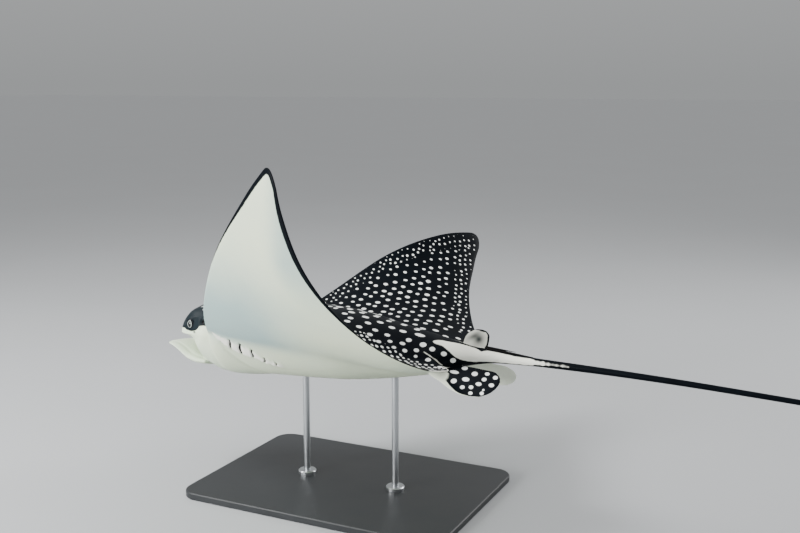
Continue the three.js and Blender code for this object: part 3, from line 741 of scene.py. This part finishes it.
def openEye(moved, side):
    # presses the skin round the ball: a lid on it, an opening with a lip, and an orbit that fades out
    centre, axis, across, up = eyeAxes(side)
    near = np.flatnonzero(np.linalg.norm(moved - centre, axis=1) < 0.05)
    place = moved[near] - centre
    along, x, y = place @ axis, place @ across, place @ up
    oval = np.hypot(x / eye["opening"][0], y / eye["opening"][1])
    spread = np.hypot(x, y)
    ball = np.sqrt(np.maximum(eye["radius"] ** 2 - np.minimum(spread, eye["lidReach"]) ** 2, 0))
    lid = ball + eye["lid"] - np.maximum(0, spread - eye["lidReach"]) * 0.45
    weight = (1 - smoothstep(spread, 0.013, eye["orbit"])) * (along > 0)
    target = along * (1 - weight) + np.maximum(lid, along - 0.002) * weight
    lip = target - 0.0016 * (1 - smoothstep(oval, 1, 1.12))
    behind = ball - 0.004 * smoothstep(1 - oval, -0.02, 0.12)
    target = np.where(weight > 0, np.where(oval > 1, lip, behind), target)
    moved[near] += axis * ((target - along) * (along > 0))[:, None]


def sculpt(mesh, points, piece, values):
    # the fine forms of the head: brow, cheek, eye openings, gill strips, slits and pores
    setVertices(mesh, points)
    normals = vertexArray(mesh, "vertices", "normal")
    moved = points.copy()
    for side in (1, -1):
        for swell in swells:
            far = np.linalg.norm(points - metres(swell["at"], side), axis=1)
            moved += normals * (swell["high"] * np.exp(-(far / swell["reach"]) ** 2))[:, None]
    strip = gillStrip(points, piece, values)
    ends = smoothstep(values[:, 1], 0.166, 0.185) * (1 - smoothstep(values[:, 1], 0.268, 0.284))
    onStrip = (1 - smoothstep(strip, 0.5, 2.0)) * (1 - smoothstep(-strip, 0.85, 1.3)) * ends
    depth, _ = grooveDepths(points, piece, values)
    # two long furrows in the bill
    furrow = np.abs(np.abs(values[:, 1]) - 0.7 + 0.12 * np.sin(5 * values[:, 0]))
    furrow = (1 - smoothstep(furrow, 0.01, 0.09)) * smoothstep(values[:, 0], 0.05, 0.3)
    depth += np.where(piece == 1, bill["furrow"] * furrow, 0)
    moved += normals * (gills["raise"] * onStrip - depth)[:, None]
    for side in (1, -1):
        openEye(moved, side)
    return moved


def outlineGap(u, v):
    # distance in metres from the flat disc's margin, and which stretch of it is nearest
    part = np.repeat([0, 1, 2, 3], [rows["leading"], rows["tip"], rows["trailing"], rows["tongue"] + 1])
    ends = np.array([rib[1] for rib in ribTable()[rows["head"] + 2:]])[:len(part)]
    flat = np.stack([u, v], -1)
    gap, stretch = np.full(len(u), 1.0), np.zeros(len(u), int)
    for a, b, kind in zip(ends, ends[1:], part):
        far, _ = segmentGap(flat, a, b)
        closer = far < gap
        gap, stretch = np.where(closer, far, gap), np.where(closer, kind, stretch)
    return gap * ray["discWidth"], stretch


def spotReach(back, across, long, wide):
    # how far inside an oval spot a point lies, in metres, from its distances back and across
    return (1 - np.hypot(back / long, across / wide)) * wide


def blur(x, y, long, wide):
    # a soft oval patch, from distances to its middle
    return np.exp(-(x / long) ** 2 - (y / wide) ** 2)


spotField = {       # the spots stand on a lattice that is widest at the hind body and closes towards the tips
    "spacing": 0.0275, "closes": 1.3, "from": 0.1, "finSpacing": 0.027,
    "share": 0.178, "fineShare": 0.175, "fineRepeat": 1.5, "tinyShare": 0.165, "tinyRepeat": 2.9,
    "none": -0.06,      # a share that leaves no spot
}
darkRim = {     # metres of dark that show from below along each stretch of the margin
    "leading": 0.0085, "tip": 0.0095, "trailing": (0.0005, 0.013, 0.0085), "tongue": 0.003,
    # the last two give the widths of painted highlights: pale lines along the tongue's upper rim and the rear
    # corner's rim
    "tongueRimHighlight": 0.0018, "rimHighlightHalf": 0.001,
}


def skinPlace(points, piece, values):
    # where each skin point lies: on the flat disc, along its margin, and in shares of the bent body
    u, v, body = np.abs(values[:, 0]), values[:, 1], piece == 0
    rim, stretch = np.full(len(points), 1.0), np.zeros(len(points), int)
    rim[body], stretch[body] = outlineGap(u[body], v[body])
    onTongue = (stretch == 3) | ((stretch == 2) & (v > 0.54) & (u < 0.12))
    return SimpleNamespace(
        u=u, v=v, over=values[:, 2], body=body, rim=rim, stretch=stretch, onTongue=onTongue,
        out=np.abs(points[:, 0]) / ray["discWidth"], high=points[:, 2] / ray["discWidth"],
        back=points[:, 1] / ray["discWidth"] + ray["centreAt"])


def darkOnDisc(at):
    # metres inside the dark back, which folds a little way round the margin on to the underside, less a thin
    # painted highlight left pale along the tongue's upper rim
    near, far, tip = darkRim["trailing"]
    trailing = near + (far - near) * smoothstep(at.u, 0.2, 0.35) + (tip - far) * smoothstep(at.u, 0.4, 0.46)
    leading = darkRim["leading"] * smoothstep(at.u, 0.26, 0.46)
    band = np.choose(at.stretch, [leading, darkRim["tip"], trailing, darkRim["tongue"]])
    # painted highlight: a pale line along the tongue's upper rim
    above = np.where(at.onTongue & (at.v > 0.546), -darkRim["tongueRimHighlight"], 0.003)
    return np.where(at.over > 0, at.rim * np.clip(at.over, 0, 1) + above, band - at.rim)


def darkOnTail(at):
    # the same on the tail's root, where the white side breaks up into dashes towards the rear
    side = np.minimum(at.out - flank["stripe"](at.back), at.high - flank["low"](at.back))
    side = np.minimum(side, at.back - flank["from"]) * ray["discWidth"]
    under = (-0.007 - at.high) * ray["discWidth"] - 0.05 * smoothstep(at.v, 0.57, 0.6)
    dashes = 0.5 + 0.5 * np.sin(2 * math.pi * at.v / flank["dash"] + 2 * np.sin(at.v * 300))
    broken = smoothstep(at.v, flank["fadesFrom"] - 0.003, flank["fadesFrom"] + 0.004)
    dark = broken * (0.0006 + 0.0018 * dashes) - np.maximum(side, under)
    return np.minimum(dark + 0.0042 * smoothstep(at.v, flank["fadesFrom"], flank["fadesTo"]), 0.03)


def darkOnBody(at):
    onHead = (at.high - headLine(at.v)) * ray["discWidth"]
    dark = lerp(onHead, darkOnDisc(at), smoothstep(at.v, 0.118, 0.136))
    dark = lerp(dark, darkOnTail(at), smoothstep(at.v, 0.5, 0.507) * (at.u < 0.0465))
    dark = np.where(at.v > flank["endsAt"], 0.03, dark)
    # painted highlight: a thin pale line along the rim over the wing's rear corner
    rimHighlight = lineGap(np.stack([at.out, at.back, at.high], -1), rimHighlightLine) * ray["discWidth"]
    return np.minimum(dark, rimHighlight - darkRim["rimHighlightHalf"])


def latticeCells(at, values):
    # a flat map of sinh and cosh keeps the lattice's cells square while they close up towards the tips
    closes = spotField["closes"]
    x, y = values[:, 0] * ray["discWidth"] * closes, (at.v - spotField["from"]) * ray["discWidth"] * closes
    return np.stack([np.sinh(x) * np.cos(y), np.cosh(x) * np.sin(y)]) / closes / spotField["spacing"]


def spotShares(at):
    # sizes of the lattice's spots: large on the disc, fine along its margin, tiny at the wing's rear root
    margin = np.where(at.stretch == 2, smoothstep(at.rim, 0.036, 0.046), smoothstep(at.rim, 0.033, 0.042))
    hind = smoothstep(at.v, 0.332, 0.34) * (1 - smoothstep(at.u, 0.07, 0.078))      # has placed spots instead
    large = spotField["share"] * margin * (1 - hind) * (1 - 0.2 * smoothstep(at.u, 0.3, 0.45))
    large = large * lerp(0.7, 1, smoothstep(at.rim, 0.02, 0.11))
    onHead = 0.8 * spotField["share"] * smoothstep(at.v, 0.095, 0.11) * smoothstep(at.high, 0.03, 0.04)
    large = np.where(at.v < 0.13, onHead, large)
    fine = spotField["fineShare"] * (1 - margin) * smoothstep(at.rim, 0.002, 0.009)
    fine = fine * lerp(0.7, 1, smoothstep(at.rim, 0.0, 0.035))
    fine = fine * (at.stretch <= 2) * (at.v > 0.13) * (1 - hind * (at.v < 0.48))
    rootEnds = lerp(0.077, 0.125, smoothstep(at.v, 0.49, 0.54))
    rearRoot = smoothstep(at.u, 0.0575, 0.0595) * (1 - smoothstep(at.u - rootEnds, 0, 0.004))
    rearRoot = rearRoot * smoothstep(at.v, 0.385, 0.393) * smoothstep(at.rim, 0.001, 0.003)
    tiny = spotField["tinyShare"] * rearRoot * (at.stretch >= 2)
    tiny = np.where(tiny < 0.1, 0, tiny)
    shares = np.stack([large * (1 - rearRoot), fine * (1 - rearRoot), tiny]) * (at.over > 0) * (at.v < 0.6)
    return np.where((shares < 0.03) | ~at.body, spotField["none"], shares)


def placedSpots(at):
    # metres inside the spots that are placed one by one on the body
    inside = np.full(len(at.u), -1.0)
    for out, back, high, long, wide in trunkSpots:
        across = np.hypot(at.out - out, at.high - high) * ray["discWidth"]
        inside = np.maximum(inside, spotReach((at.back - back) * ray["discWidth"], across, long, wide))
    return np.where(at.body & ((at.over > -0.5) | (at.high > -0.004)), inside, -1)


def pelvicMarks(marks, here, values):
    # pelvic fins: spotted above, with a pale margin that narrows towards the tip, and pale below
    along, across, edge, face = values[here].T
    start = lerp(0.008, 0.05, smoothstep(across, -0.01, 0.006))
    pale = 0.0016 * (1 - smoothstep(along, 0.09, 0.13)) + 0.008 * (1 - smoothstep(along, 0.045, 0.09))
    top = np.minimum(edge - np.where(across > 0, pale, -0.002), (along - start) * 0.3)
    inside = [spotReach(along - x, across - y, long, wide) for x, y, long, wide in finSpots]
    marks.dark[here] = np.where(face > 0, top, -0.02)
    marks.placed[here] = np.max(inside, 0)
    marks.cells[:, here] = np.stack([along, across]) / spotField["finSpacing"]
    marks.blotch[here] = 0.3 * blur(along - 0.034, across - 0.008, 0.016, 0.014) * (face > 0)
    marks.bright[here] = 0.5


def dorsalMarks(marks, here, values):
    # dorsal fin: white, with a blurred dark blotch and a thin dark outline behind
    height, chord, edge = values[here, :3].T
    marks.dark[here] = lerp(0.0022, 0.0042, smoothstep(chord, -0.2, 0.5)) - edge
    middle = 0.95 * blur(height - 0.5, chord - 0.22, 0.27, 0.4)
    marks.blotch[here] = middle + 0.7 * blur(height - 0.74 - 0.3 * chord, chord + 0.35, 0.2, 0.42)
    marks.bright[here] = 0.9


def paintedUndersideShade(at):
    # painted shade: the belly turns blue-grey at the front wing roots and along the wings' rear halves
    root = 0.95 * smoothstep(at.u, 0.11, 0.15) * (1 - smoothstep(at.u, 0.2, 0.38))
    root = root * (1 - smoothstep(at.v, 0.24, 0.42))
    rear = 0.7 * smoothstep(at.u, 0.24, 0.36) * (1 - smoothstep(at.rim, 0.04, 0.12))
    rear = rear * smoothstep(at.v - 0.25 - 0.29 * at.u, -0.01, 0.05)
    return np.maximum(root, rear) * (at.over < 0)


def skinMarks(points, piece, values):
    # all that the hide's material reads at each point: lattice places, shares, painted highlight and shade,
    # and gaps in millimetres
    at = skinPlace(points, piece, values)
    marks = SimpleNamespace(dark=darkOnBody(at), placed=placedSpots(at), cells=latticeCells(at, values))
    hood = 0.6 * smoothstep(marks.dark, 0.001, 0.004) * (1 - smoothstep(at.v, 0.11, 0.14))
    back, up = (at.v - 0.0857) * ray["discWidth"], (at.high - 0.0066) * ray["discWidth"]
    cheek = 0.9 * smoothstep(spotReach(back, up, 0.0052, 0.0024), -0.0006, 0.0008)
    marks.blotch = np.maximum(cheek * (at.u > 0.05) * (at.v < 0.1), hood) * at.body
    # painted highlight: the raised gill strips are painted paler, where the light catches them
    strip = 1 - smoothstep(np.abs(gillStrip(points, piece, values)), 0.7, 1.1)
    # the pale parts: the white side of the tail's root, and a painted highlight along the tongue's upper rim
    whiteSideAndLitRim = ((at.v > 0.505) & (at.u < 0.0465)) | (at.onTongue & (at.over > 0))
    marks.bright = np.where(whiteSideAndLitRim, 0.9, strip * (at.over < 0))
    marks.dark[piece == 1] = -0.04
    pelvicMarks(marks, piece == 2, values)
    pelvicMarks(marks, piece == 3, values)
    dorsalMarks(marks, piece == 4, values)
    large, fine, tiny = spotShares(at)
    _, opening = grooveDepths(points, piece, values)
    return {
        "spotPlace": np.stack([*marks.cells, large], -1),
        # the third is how far inside an opening a point lies, for its painted shade
        "marks": np.stack([marks.dark, marks.placed, opening], -1) * 1000,
        # paleness holds white skin and the painted highlights of the gill strips and rims
        "tone": np.stack([fine, np.minimum(marks.blotch, 1), marks.bright], -1),
        # the last of these is the belly's painted shade
        "rims": np.stack([tiny, eyeSpread(points) * 1000, paintedUndersideShade(at)], -1),
    }


def writeAttributes(mesh, marks):
    for name, values in marks.items():
        layer = mesh.attributes.new(name, "FLOAT_VECTOR", "POINT")
        layer.data.foreach_set("vector", np.asarray(values, np.float32).ravel())


skinMesh = uniteSkin()
skinPoints = vertexArray(skinMesh)
print("skin united:", len(skinMesh.vertices), "points", len(skinMesh.polygons), "faces")
piece, values, second = nearestValues(skinPoints)
skinPoints = smoothJunctions(skinMesh, skinPoints, piece, values, second)
writeAttributes(skinMesh, skinMarks(skinPoints, piece, values))
skinPoints = sculpt(skinMesh, skinPoints, piece, values)
setVertices(skinMesh, toRoom(skinPoints))
skinMesh.shade_smooth()
skin = bpy.data.objects.new("skin", skinMesh)
bpy.context.scene.collection.objects.link(skin)
print("skin marked")


def linear(code):
    channels = [int(code[i:i + 2], 16) / 255 for i in (1, 3, 5)]
    return [c / 12.92 if c <= 0.04045 else ((c + 0.055) / 1.055) ** 2.4 for c in channels] + [1.0]


def add(tree, kind, *inputs, **named):
    # adds a node; inputs fill it from the top, small-letter names are its settings, others name an input
    node = tree.nodes.new("ShaderNode" + kind)
    for name in [name for name in named if name[0].islower()]:
        setattr(node, name, named.pop(name))
    sockets = [(node.inputs[i], value) for i, value in enumerate(inputs)]
    for name, value in named.items():
        plain = name.replace("_", " ")
        matching = [socket for socket in node.inputs if socket.enabled and socket.name == plain]
        sockets.append((matching[0], value))
    for socket, value in sockets:
        if isinstance(value, bpy.types.Node):
            value = next(out for out in value.outputs if out.enabled)
        if isinstance(value, bpy.types.NodeSocket):
            tree.links.new(value, socket)
        else:
            socket.default_value = value
    return node


def newMaterial(name, **fixed):
    # a material with one Principled shader; fixed are values that are the same all over the surface
    material = bpy.data.materials.new(name)
    material.use_nodes = True
    tree = material.node_tree
    tree.nodes.clear()
    shader = add(tree, "BsdfPrincipled", **fixed)
    add(tree, "OutputMaterial", Surface=shader)
    return material, tree, shader


def twoTone(tree, share, look, low, high):
    # a colour that drifts between two of a look's colours
    return add(tree, "Mix", data_type="RGBA", Factor=share, A=linear(look[low]), B=linear(look[high]))


def finish(tree, shader, colour, rough, height, strength, distance):
    # joins colour, roughness and bump to the shader
    bump = add(tree, "Bump", Strength=strength, Distance=distance, Height=height)
    for name, node in (("Base Color", colour), ("Roughness", rough), ("Normal", bump)):
        tree.links.new(next(out for out in node.outputs if out.enabled), shader.inputs[name])


hide = {
    "ior": 1.4, "sheen": 0.09,
    "back": "#010307", "backHigh": "#061018", "spot": "#f4f6f2",
    # the belly's blue-grey is painted shade
    # the belly's whitest colour is white skin and painted highlight
    # the near-black of the slits is painted shade inside openings
    "belly": "#dde6c9", "bellyShadeBlue": "#9fb6b3", "bellyWhiteAndHighlight": "#f5f5ea", "openingShade": "#07090b",
    "lid": "#0a1015", "smoke": "#222b2f",
    "cloudMm": 192.0, "mottleMm": 16.0, "grainMm": 1.1, "rayMm": 9.0, "wobbleMm": 11.0,
    # repeat, how unevenly spots stand, softness of their edge, and how much they are widened and heightened
    "large": (1.0, 0.36, 0.022, (1.12, 0.8)),
    "fine": (spotField["fineRepeat"], 0.4, 0.03, (0.95, 0.95)),
    "tiny": (spotField["tinyRepeat"], 0.3, 0.05, (0.95, 0.55)),
}


def spotLayer(tree, cells, share, repeat, randomness, soft, squeeze):
    # rows of spots on a staggered lattice, each nudged and sized by its own cell; share is their radius
    # and squeeze how much each spot's across and down gaps count
    x, y = (add(tree, "Math", cell, repeat, operation="MULTIPLY") for cell in cells)
    shear = add(tree, "Math", y, -1 / math.sqrt(3), x, operation="MULTIPLY_ADD")
    place = add(tree, "CombineXYZ", shear, add(tree, "Math", y, 2 / math.sqrt(3), operation="MULTIPLY"))
    cell = add(tree, "TexVoronoi", voronoi_dimensions="2D", Vector=place, Scale=1.0, Randomness=randomness)
    gap = add(tree, "VectorMath", place, cell.outputs["Position"], operation="SUBTRACT")
    right, down, _ = add(tree, "SeparateXYZ", gap).outputs
    across = add(tree, "Math", down, 0.5, right, operation="MULTIPLY_ADD")
    down = add(tree, "Math", down, math.sqrt(3) / 2 * squeeze[1], operation="MULTIPLY")
    luck = add(tree, "SeparateColor", cell.outputs["Color"]).outputs
    stretch = add(tree, "MapRange", luck[1], 0, 1, 0.85 * squeeze[0], 1.12 * squeeze[0])
    across = add(tree, "Math", across, stretch, operation="MULTIPLY")
    far = add(tree, "VectorMath", add(tree, "CombineXYZ", across, down), operation="LENGTH")
    size = add(tree, "Math", share, add(tree, "MapRange", luck[0], 0, 1, 0.8, 1.15), operation="MULTIPLY")
    inside = add(tree, "Math", size, far, operation="SUBTRACT")
    return add(tree, "MapRange", inside, -soft, soft, interpolation_type="SMOOTHSTEP")


def rayHide():
    # wet hide, smooth as a ray's is: glossy near-black back with crisp white spots, china-white belly
    material, tree, shader = newMaterial("eagle ray hide", IOR=hide["ior"], Specular_IOR_Level=hide["sheen"])
    spotPlace, marks, tone, rims = (
        add(tree, "SeparateXYZ", add(tree, "Attribute", attribute_name=name).outputs["Vector"]).outputs
        for name in ("spotPlace", "marks", "tone", "rims"))
    body = add(tree, "TexCoord").outputs["Object"]
    wobble, cloud, mottle, grain = (
        add(tree, "TexNoise", Vector=body, Scale=1000 / hide[size], Detail=detail)
        for size, detail in (("wobbleMm", 2.0), ("cloudMm", 4.0), ("mottleMm", 3.0), ("grainMm", 2.0)))
    edge = add(tree, "Math", wobble, 2.4, marks[0], operation="MULTIPLY_ADD")
    isDark = add(tree, "MapRange", edge, 0.2, 2.2, interpolation_type="SMOOTHSTEP")

    placed = add(tree, "Math", wobble, 0.9, marks[1], operation="MULTIPLY_ADD")
    spots = add(tree, "MapRange", placed, -0.1, 1.0, interpolation_type="SMOOTHSTEP")
    for share, size in ((spotPlace[2], "large"), (tone[0], "fine"), (rims[0], "tiny")):
        layer = spotLayer(tree, spotPlace[:2], share, *hide[size])
        spots = add(tree, "Math", spots, layer, operation="MAXIMUM")
    clear = add(tree, "MapRange", edge, 1.5, 3.5)
    spots = add(tree, "Math", spots, clear, operation="MULTIPLY")

    shade = add(tree, "Math", cloud, mottle, operation="MULTIPLY")
    back = twoTone(tree, shade, hide, "back", "backHigh")
    back = add(tree, "Mix", data_type="RGBA", Factor=spots, A=back, B=linear(hide["spot"]))
    # painted shade: blue-grey on the belly at the wing roots and the wings' rear halves, with a cloudy
    # blue-grey tone that varies at random
    shadeAndCloud = add(tree, "MapRange", add(tree, "Math", cloud, 0.7, rims[2], operation="MULTIPLY_ADD"), 0.15, 1.2)
    # painted shade: slits, mouth, nostrils, spiracle and vent painted near-black inside
    openingShade = add(tree, "MapRange", marks[2], -0.25, 0.35)
    lid = add(tree, "MapRange", rims[1], 1000 * eye["ring"] + 0.5, 1000 * eye["ring"] - 0.5)
    colour = linear(hide["belly"])
    # the whitest belly colour paints white skin and the painted highlights of gill strips and rims
    for share, cover in (
            (shadeAndCloud, linear(hide["bellyShadeBlue"])), (tone[2], linear(hide["bellyWhiteAndHighlight"])), (isDark, back),
            (tone[1], linear(hide["smoke"])), (openingShade, linear(hide["openingShade"])), (lid, linear(hide["lid"]))):
        colour = add(tree, "Mix", data_type="RGBA", Factor=share, A=colour, B=cover)
    rough = add(tree, "MapRange", mottle, 0, 1, 0.36, 0.52)

    # faint fin rays under the skin, and its fine grain
    across = add(tree, "Math", spotPlace[0], 0.2, operation="MULTIPLY")
    rayed = add(tree, "Math", spotPlace[1], 1000 * spotField["spacing"] / hide["rayMm"], operation="MULTIPLY")
    finRays = add(tree, "TexNoise", Vector=add(tree, "CombineXYZ", across, rayed), Scale=1.0, Detail=1.0)
    height = add(tree, "Math", grain, 0.18, operation="MULTIPLY")
    height = add(tree, "Math", finRays, 1.1, height, operation="MULTIPLY_ADD")
    finish(tree, shader, colour, rough, height, 0.35, 0.0006)
    return material


skin.data.materials.clear()
skin.data.materials.append(rayHide())
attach(skin, "root")
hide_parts("head", "trunk", "tail_base", "wing_left", "wing_right", "rostral_lobe", "dorsal_fin",
            "pelvic_fin_left", "pelvic_fin_right", "tail_1", "tail_2", "tail_3", "tail_4")


def eyeBall(side):
    # a ball whose front cap, over its iris, is set back a little
    centre, axis, across, up = eyeAxes(side)
    polar = math.pi * np.arange(1, eye["rings"])[:, None] / eye["rings"]
    turn = 2 * math.pi * np.arange(eye["segments"]) / eye["segments"]
    x, y, z = np.sin(polar) * np.cos(turn), np.sin(polar) * np.sin(turn), np.cos(polar) + 0 * turn
    local = np.stack([x, y, z], -1)
    swell = 0.98 - 0.035 * (1 - smoothstep(polar, 0.5, 0.75))
    poles = np.array([[0, 0, 1.0], [0, 0, -1.0]])
    points = np.concatenate([(local * swell[..., None]).reshape(-1, 3), poles * [[0.945], [0.98]]])
    faces = []
    gridFaces(0, eye["rings"] - 1, eye["segments"], faces)
    closeEnds(len(points) - 2, eye["segments"], eye["segments"], faces)
    points = points @ np.array([across, up, axis]) * eye["radius"] + centre
    ball = makeObject("eye_ball_" + ("left" if side > 0 else "right"), toRoom(points), faces)
    local = np.concatenate([local.reshape(-1, 3), poles]) * eye["radius"]
    writeAttributes(ball.data, {"eyeAt": local})
    ball.data.shade_smooth()
    return ball


eyeColours = {"iris": "#7d8985", "irisHigh": "#cdd5cf", "ring": "#0b0f12", "pupil": "#020304", "fibreMm": 1.2}


def wetEye():
    # cornea: glassy and wet over a silvery iris and a black upright pupil
    material, tree, shader = newMaterial("wet eye", IOR=1.38, Coat_Weight=0.2, Coat_Roughness=0.03)
    place = add(tree, "Attribute", attribute_name="eyeAt").outputs["Vector"]
    pupil, iris = (
        add(tree, "VectorMath", add(tree, "VectorMath", place, (1 / wide, 1 / high, 0), operation="MULTIPLY"),
            operation="LENGTH")
        for wide, high in (eye["pupil"], eye["iris"]))
    ring = add(tree, "MapRange", iris, 0.96, 1.02)
    pupil = add(tree, "MapRange", pupil, 1.08, 0.94)
    behind = add(tree, "MapRange", add(tree, "SeparateXYZ", place).outputs[2], 0.0005, -0.0005)
    fibre = add(tree, "TexNoise", Vector=place, Scale=1000 / eyeColours["fibreMm"], Detail=3.0)
    colour = linear(eyeColours["iris"])
    for share, name in ((fibre, "irisHigh"), (ring, "ring"), (pupil, "pupil"), (behind, "ring")):
        colour = add(tree, "Mix", data_type="RGBA", Factor=share, A=colour, B=linear(eyeColours[name]))
    finish(tree, shader, colour, add(tree, "MapRange", fibre, 0, 1, 0.05, 0.09), fibre, 0.05, 0.0001)
    return material


eyeLook = wetEye()
for side, word in ((1, "left"), (-1, "right")):
    ball = eyeBall(side)
    ball.data.materials.append(eyeLook)
    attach(ball, "root")
    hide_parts("eye_" + word)
print("eyes set")


stings = {      # sizes in metres, rise in degrees
    "long": {"length": 0.106, "half": 0.0044, "thick": 0.0026, "rise": -3.8, "lift": 0.0012, "barbs": 26},
    "short": {"length": 0.066, "half": 0.0036, "thick": 0.0018, "rise": -3.4, "lift": 0.0048, "barbs": 18},
}
stingsAt = 0.594


def stingBlade(name, sting):
    # a flattened horny blade with barbs that point back along both edges, and a groove on top
    slope = math.radians(sting["rise"])
    back = np.array([0, math.cos(slope), math.sin(slope)])
    across = np.array([1.0, 0, 0])
    over = np.cross(across, back)
    foot = metres((0, stingsAt, float(backHeight(stingsAt) + bodyLift(stingsAt)))) + (0, 0, sting["lift"])
    perBarb, sides = 6, 24
    count = sting["barbs"] * perBarb + 1
    angle = np.arange(sides) / sides * 2 * math.pi
    out = np.cos(angle)
    up = np.sin(angle) * (1 - 0.35 * np.exp(-(out / 0.22) ** 2) * (np.sin(angle) > 0))
    rings = []
    for i in range(count):
        t = i / (count - 1)
        tooth = (i % perBarb) / perBarb
        barbed = smoothstep(t, 0.12, 0.25) * (1 - smoothstep(t, 0.93, 1))
        half = (sting["half"] * (1 - t ** 2) + 0.0004) * (0.82 + 0.18 * (tooth * barbed + (1 - barbed)))
        thick = (sting["thick"] * (1 - t ** 2) + 0.0003) * 0.95
        middle = foot + back * t * sting["length"]
        rings.append(middle + np.outer(out * half, across) + np.outer(up * thick, over))
    points = np.concatenate(rings + [rings[0].mean(0)[None], rings[-1].mean(0)[None]])
    faces = []
    gridFaces(0, count, sides, faces)
    closeEnds(count * sides, sides, sides, faces)
    blade = makeObject("sting_" + name, toRoom(points), faces)
    blade.data.shade_smooth()
    return blade


horn = {"dark": "#020203", "light": "#080707", "streakMm": (1.1, 17.0)}      # streaks' width and length


def stingHorn():
    # horny dentine under dark slime: near-black brown, streaked along its length
    material, tree, shader = newMaterial("sting horn", Specular_IOR_Level=0.12)
    across, length = (1000 / size for size in horn["streakMm"])
    place = add(tree, "TexCoord").outputs["Object"]
    streak = add(tree, "Mapping", Vector=place, Scale=(across, length, across))
    grain = add(tree, "TexNoise", Vector=streak, Scale=1.0, Detail=3.0)
    rough = add(tree, "MapRange", grain, 0, 1, 0.35, 0.6)
    finish(tree, shader, twoTone(tree, grain, horn, "dark", "light"), rough, grain, 0.4, 0.0002)
    return material


hornLook = stingHorn()
for name, sting in stings.items():
    blade = stingBlade(name, sting)
    blade.data.materials.append(hornLook)
    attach(blade, "root")
    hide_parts("tail_spine_" + name)
print("stings set")


# The stand's CAD pieces keep their shape
standSteel = {
    "coat": "#17191b", "coatHigh": "#24272a", "peelMm": 1.4, "cloudMm": 70.0,
    "steel": "#9a9da0", "steelHigh": "#cfd2d4", "brushMm": (0.6, 55.0),
}


def powderCoat():
    # powder-coated steel plate: satin charcoal with a fine orange-peel texture
    material, tree, shader = newMaterial("powder-coated steel")
    place = add(tree, "TexCoord").outputs["Object"]
    peel = add(tree, "TexNoise", Vector=place, Scale=1000 / standSteel["peelMm"], Detail=2.0)
    cloud = add(tree, "TexNoise", Vector=place, Scale=1000 / standSteel["cloudMm"], Detail=4.0)
    rough = add(tree, "MapRange", cloud, 0, 1, 0.36, 0.5)
    finish(tree, shader, twoTone(tree, cloud, standSteel, "coat", "coatHigh"), rough, peel, 0.25, 0.0003)
    return material


def brushedSteel():
    # stainless rod, drawn and brushed along its length: soft streaky highlight
    material, tree, shader = newMaterial("brushed stainless steel", Metallic=1.0)
    across, length = (1000 / size for size in standSteel["brushMm"])
    place = add(tree, "TexCoord").outputs["Object"]
    streak = add(tree, "Mapping", Vector=place, Scale=(across, across, length))
    brush = add(tree, "TexNoise", Vector=streak, Scale=1.0, Detail=3.0)
    rough = add(tree, "MapRange", brush, 0, 1, 0.22, 0.42)
    finish(tree, shader, twoTone(tree, brush, standSteel, "steel", "steelHigh"), rough, brush, 0.1, 0.0001)
    return material


standLooks = {"stand_base": powderCoat()}
steel = brushedSteel()
for name in ("stand_rod_front", "stand_rod_rear", "stand_collar_front", "stand_collar_rear"):
    standLooks[name] = steel
for name, look in standLooks.items():
    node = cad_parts[name]
    node.data.materials.clear()
    node.data.materials.append(look)
print("stand finished")


room = {
    "floor": "#a3a5a7", "floorHigh": "#a8aaac", "patchMm": 900.0, "reach": 60.0,
    "horizon": "#9ea0a1", "zenith": "#ffffff", "skyLight": 1.0, "aim": (-0.1, 0.0, 0.4),
    "lights": {     # place, size in metres, watts
        "key": ((0.6, -2.0, 2.9), 1.4, 130), "camera side": ((2.7, -1.5, 0.9), 1.2, 150),
        "far side": ((-2.4, 2.0, 2.2), 1.6, 70)},
}


def floorPaint():
    # matt floor paint, rolled on: even, with a very faint cloudiness
    material, tree, shader = newMaterial("matt floor paint")
    place = add(tree, "TexCoord").outputs["Object"]
    cloud = add(tree, "TexNoise", Vector=place, Scale=1000 / room["patchMm"], Detail=3.0)
    rough = add(tree, "MapRange", cloud, 0, 1, 0.8, 0.9)
    finish(tree, shader, twoTone(tree, cloud, room, "floor", "floorHigh"), rough, cloud, 0.05, 0.001)
    return material


corners = [(x * room["reach"], y * room["reach"], 0) for x, y in ((-1, -1), (1, -1), (1, 1), (-1, 1))]
floor = makeObject("floor", corners, [(0, 1, 2, 3)])
floor.data.materials.append(floorPaint())

for name, (place, size, power) in room["lights"].items():
    light = bpy.data.lights.new(name, "AREA")
    light.shape, light.size, light.energy = "DISK", size, power
    lamp = bpy.data.objects.new(name, light)
    bpy.context.scene.collection.objects.link(lamp)
    lamp.location = place
    lamp.rotation_euler = (Vector(room["aim"]) - Vector(place)).to_track_quat("-Z", "Y").to_euler()
world = bpy.data.worlds.new("studio")
world.use_nodes = True
tree = world.node_tree
rise = add(tree, "SeparateXYZ", add(tree, "TexCoord").outputs["Generated"]).outputs[2]
sky = twoTone(tree, rise, room, "horizon", "zenith")
tree.links.new(sky.outputs[2], tree.nodes["Background"].inputs[0])
tree.nodes["Background"].inputs[1].default_value = room["skyLight"]
bpy.context.scene.world = world

view = {"place": (2.046, 1.127, 0.949), "forward": (-0.8855, -0.4310, -0.1750), "lens": 46.44}
camera = bpy.data.cameras.new("camera")
camera.lens, camera.sensor_width = view["lens"], 36
cameraObject = bpy.data.objects.new("camera", camera)
bpy.context.scene.collection.objects.link(cameraObject)
cameraObject.location = view["place"]
cameraObject.rotation_euler = Vector(view["forward"]).to_track_quat("-Z", "Y").to_euler()
bpy.context.scene.camera = cameraObject
print("room lit")
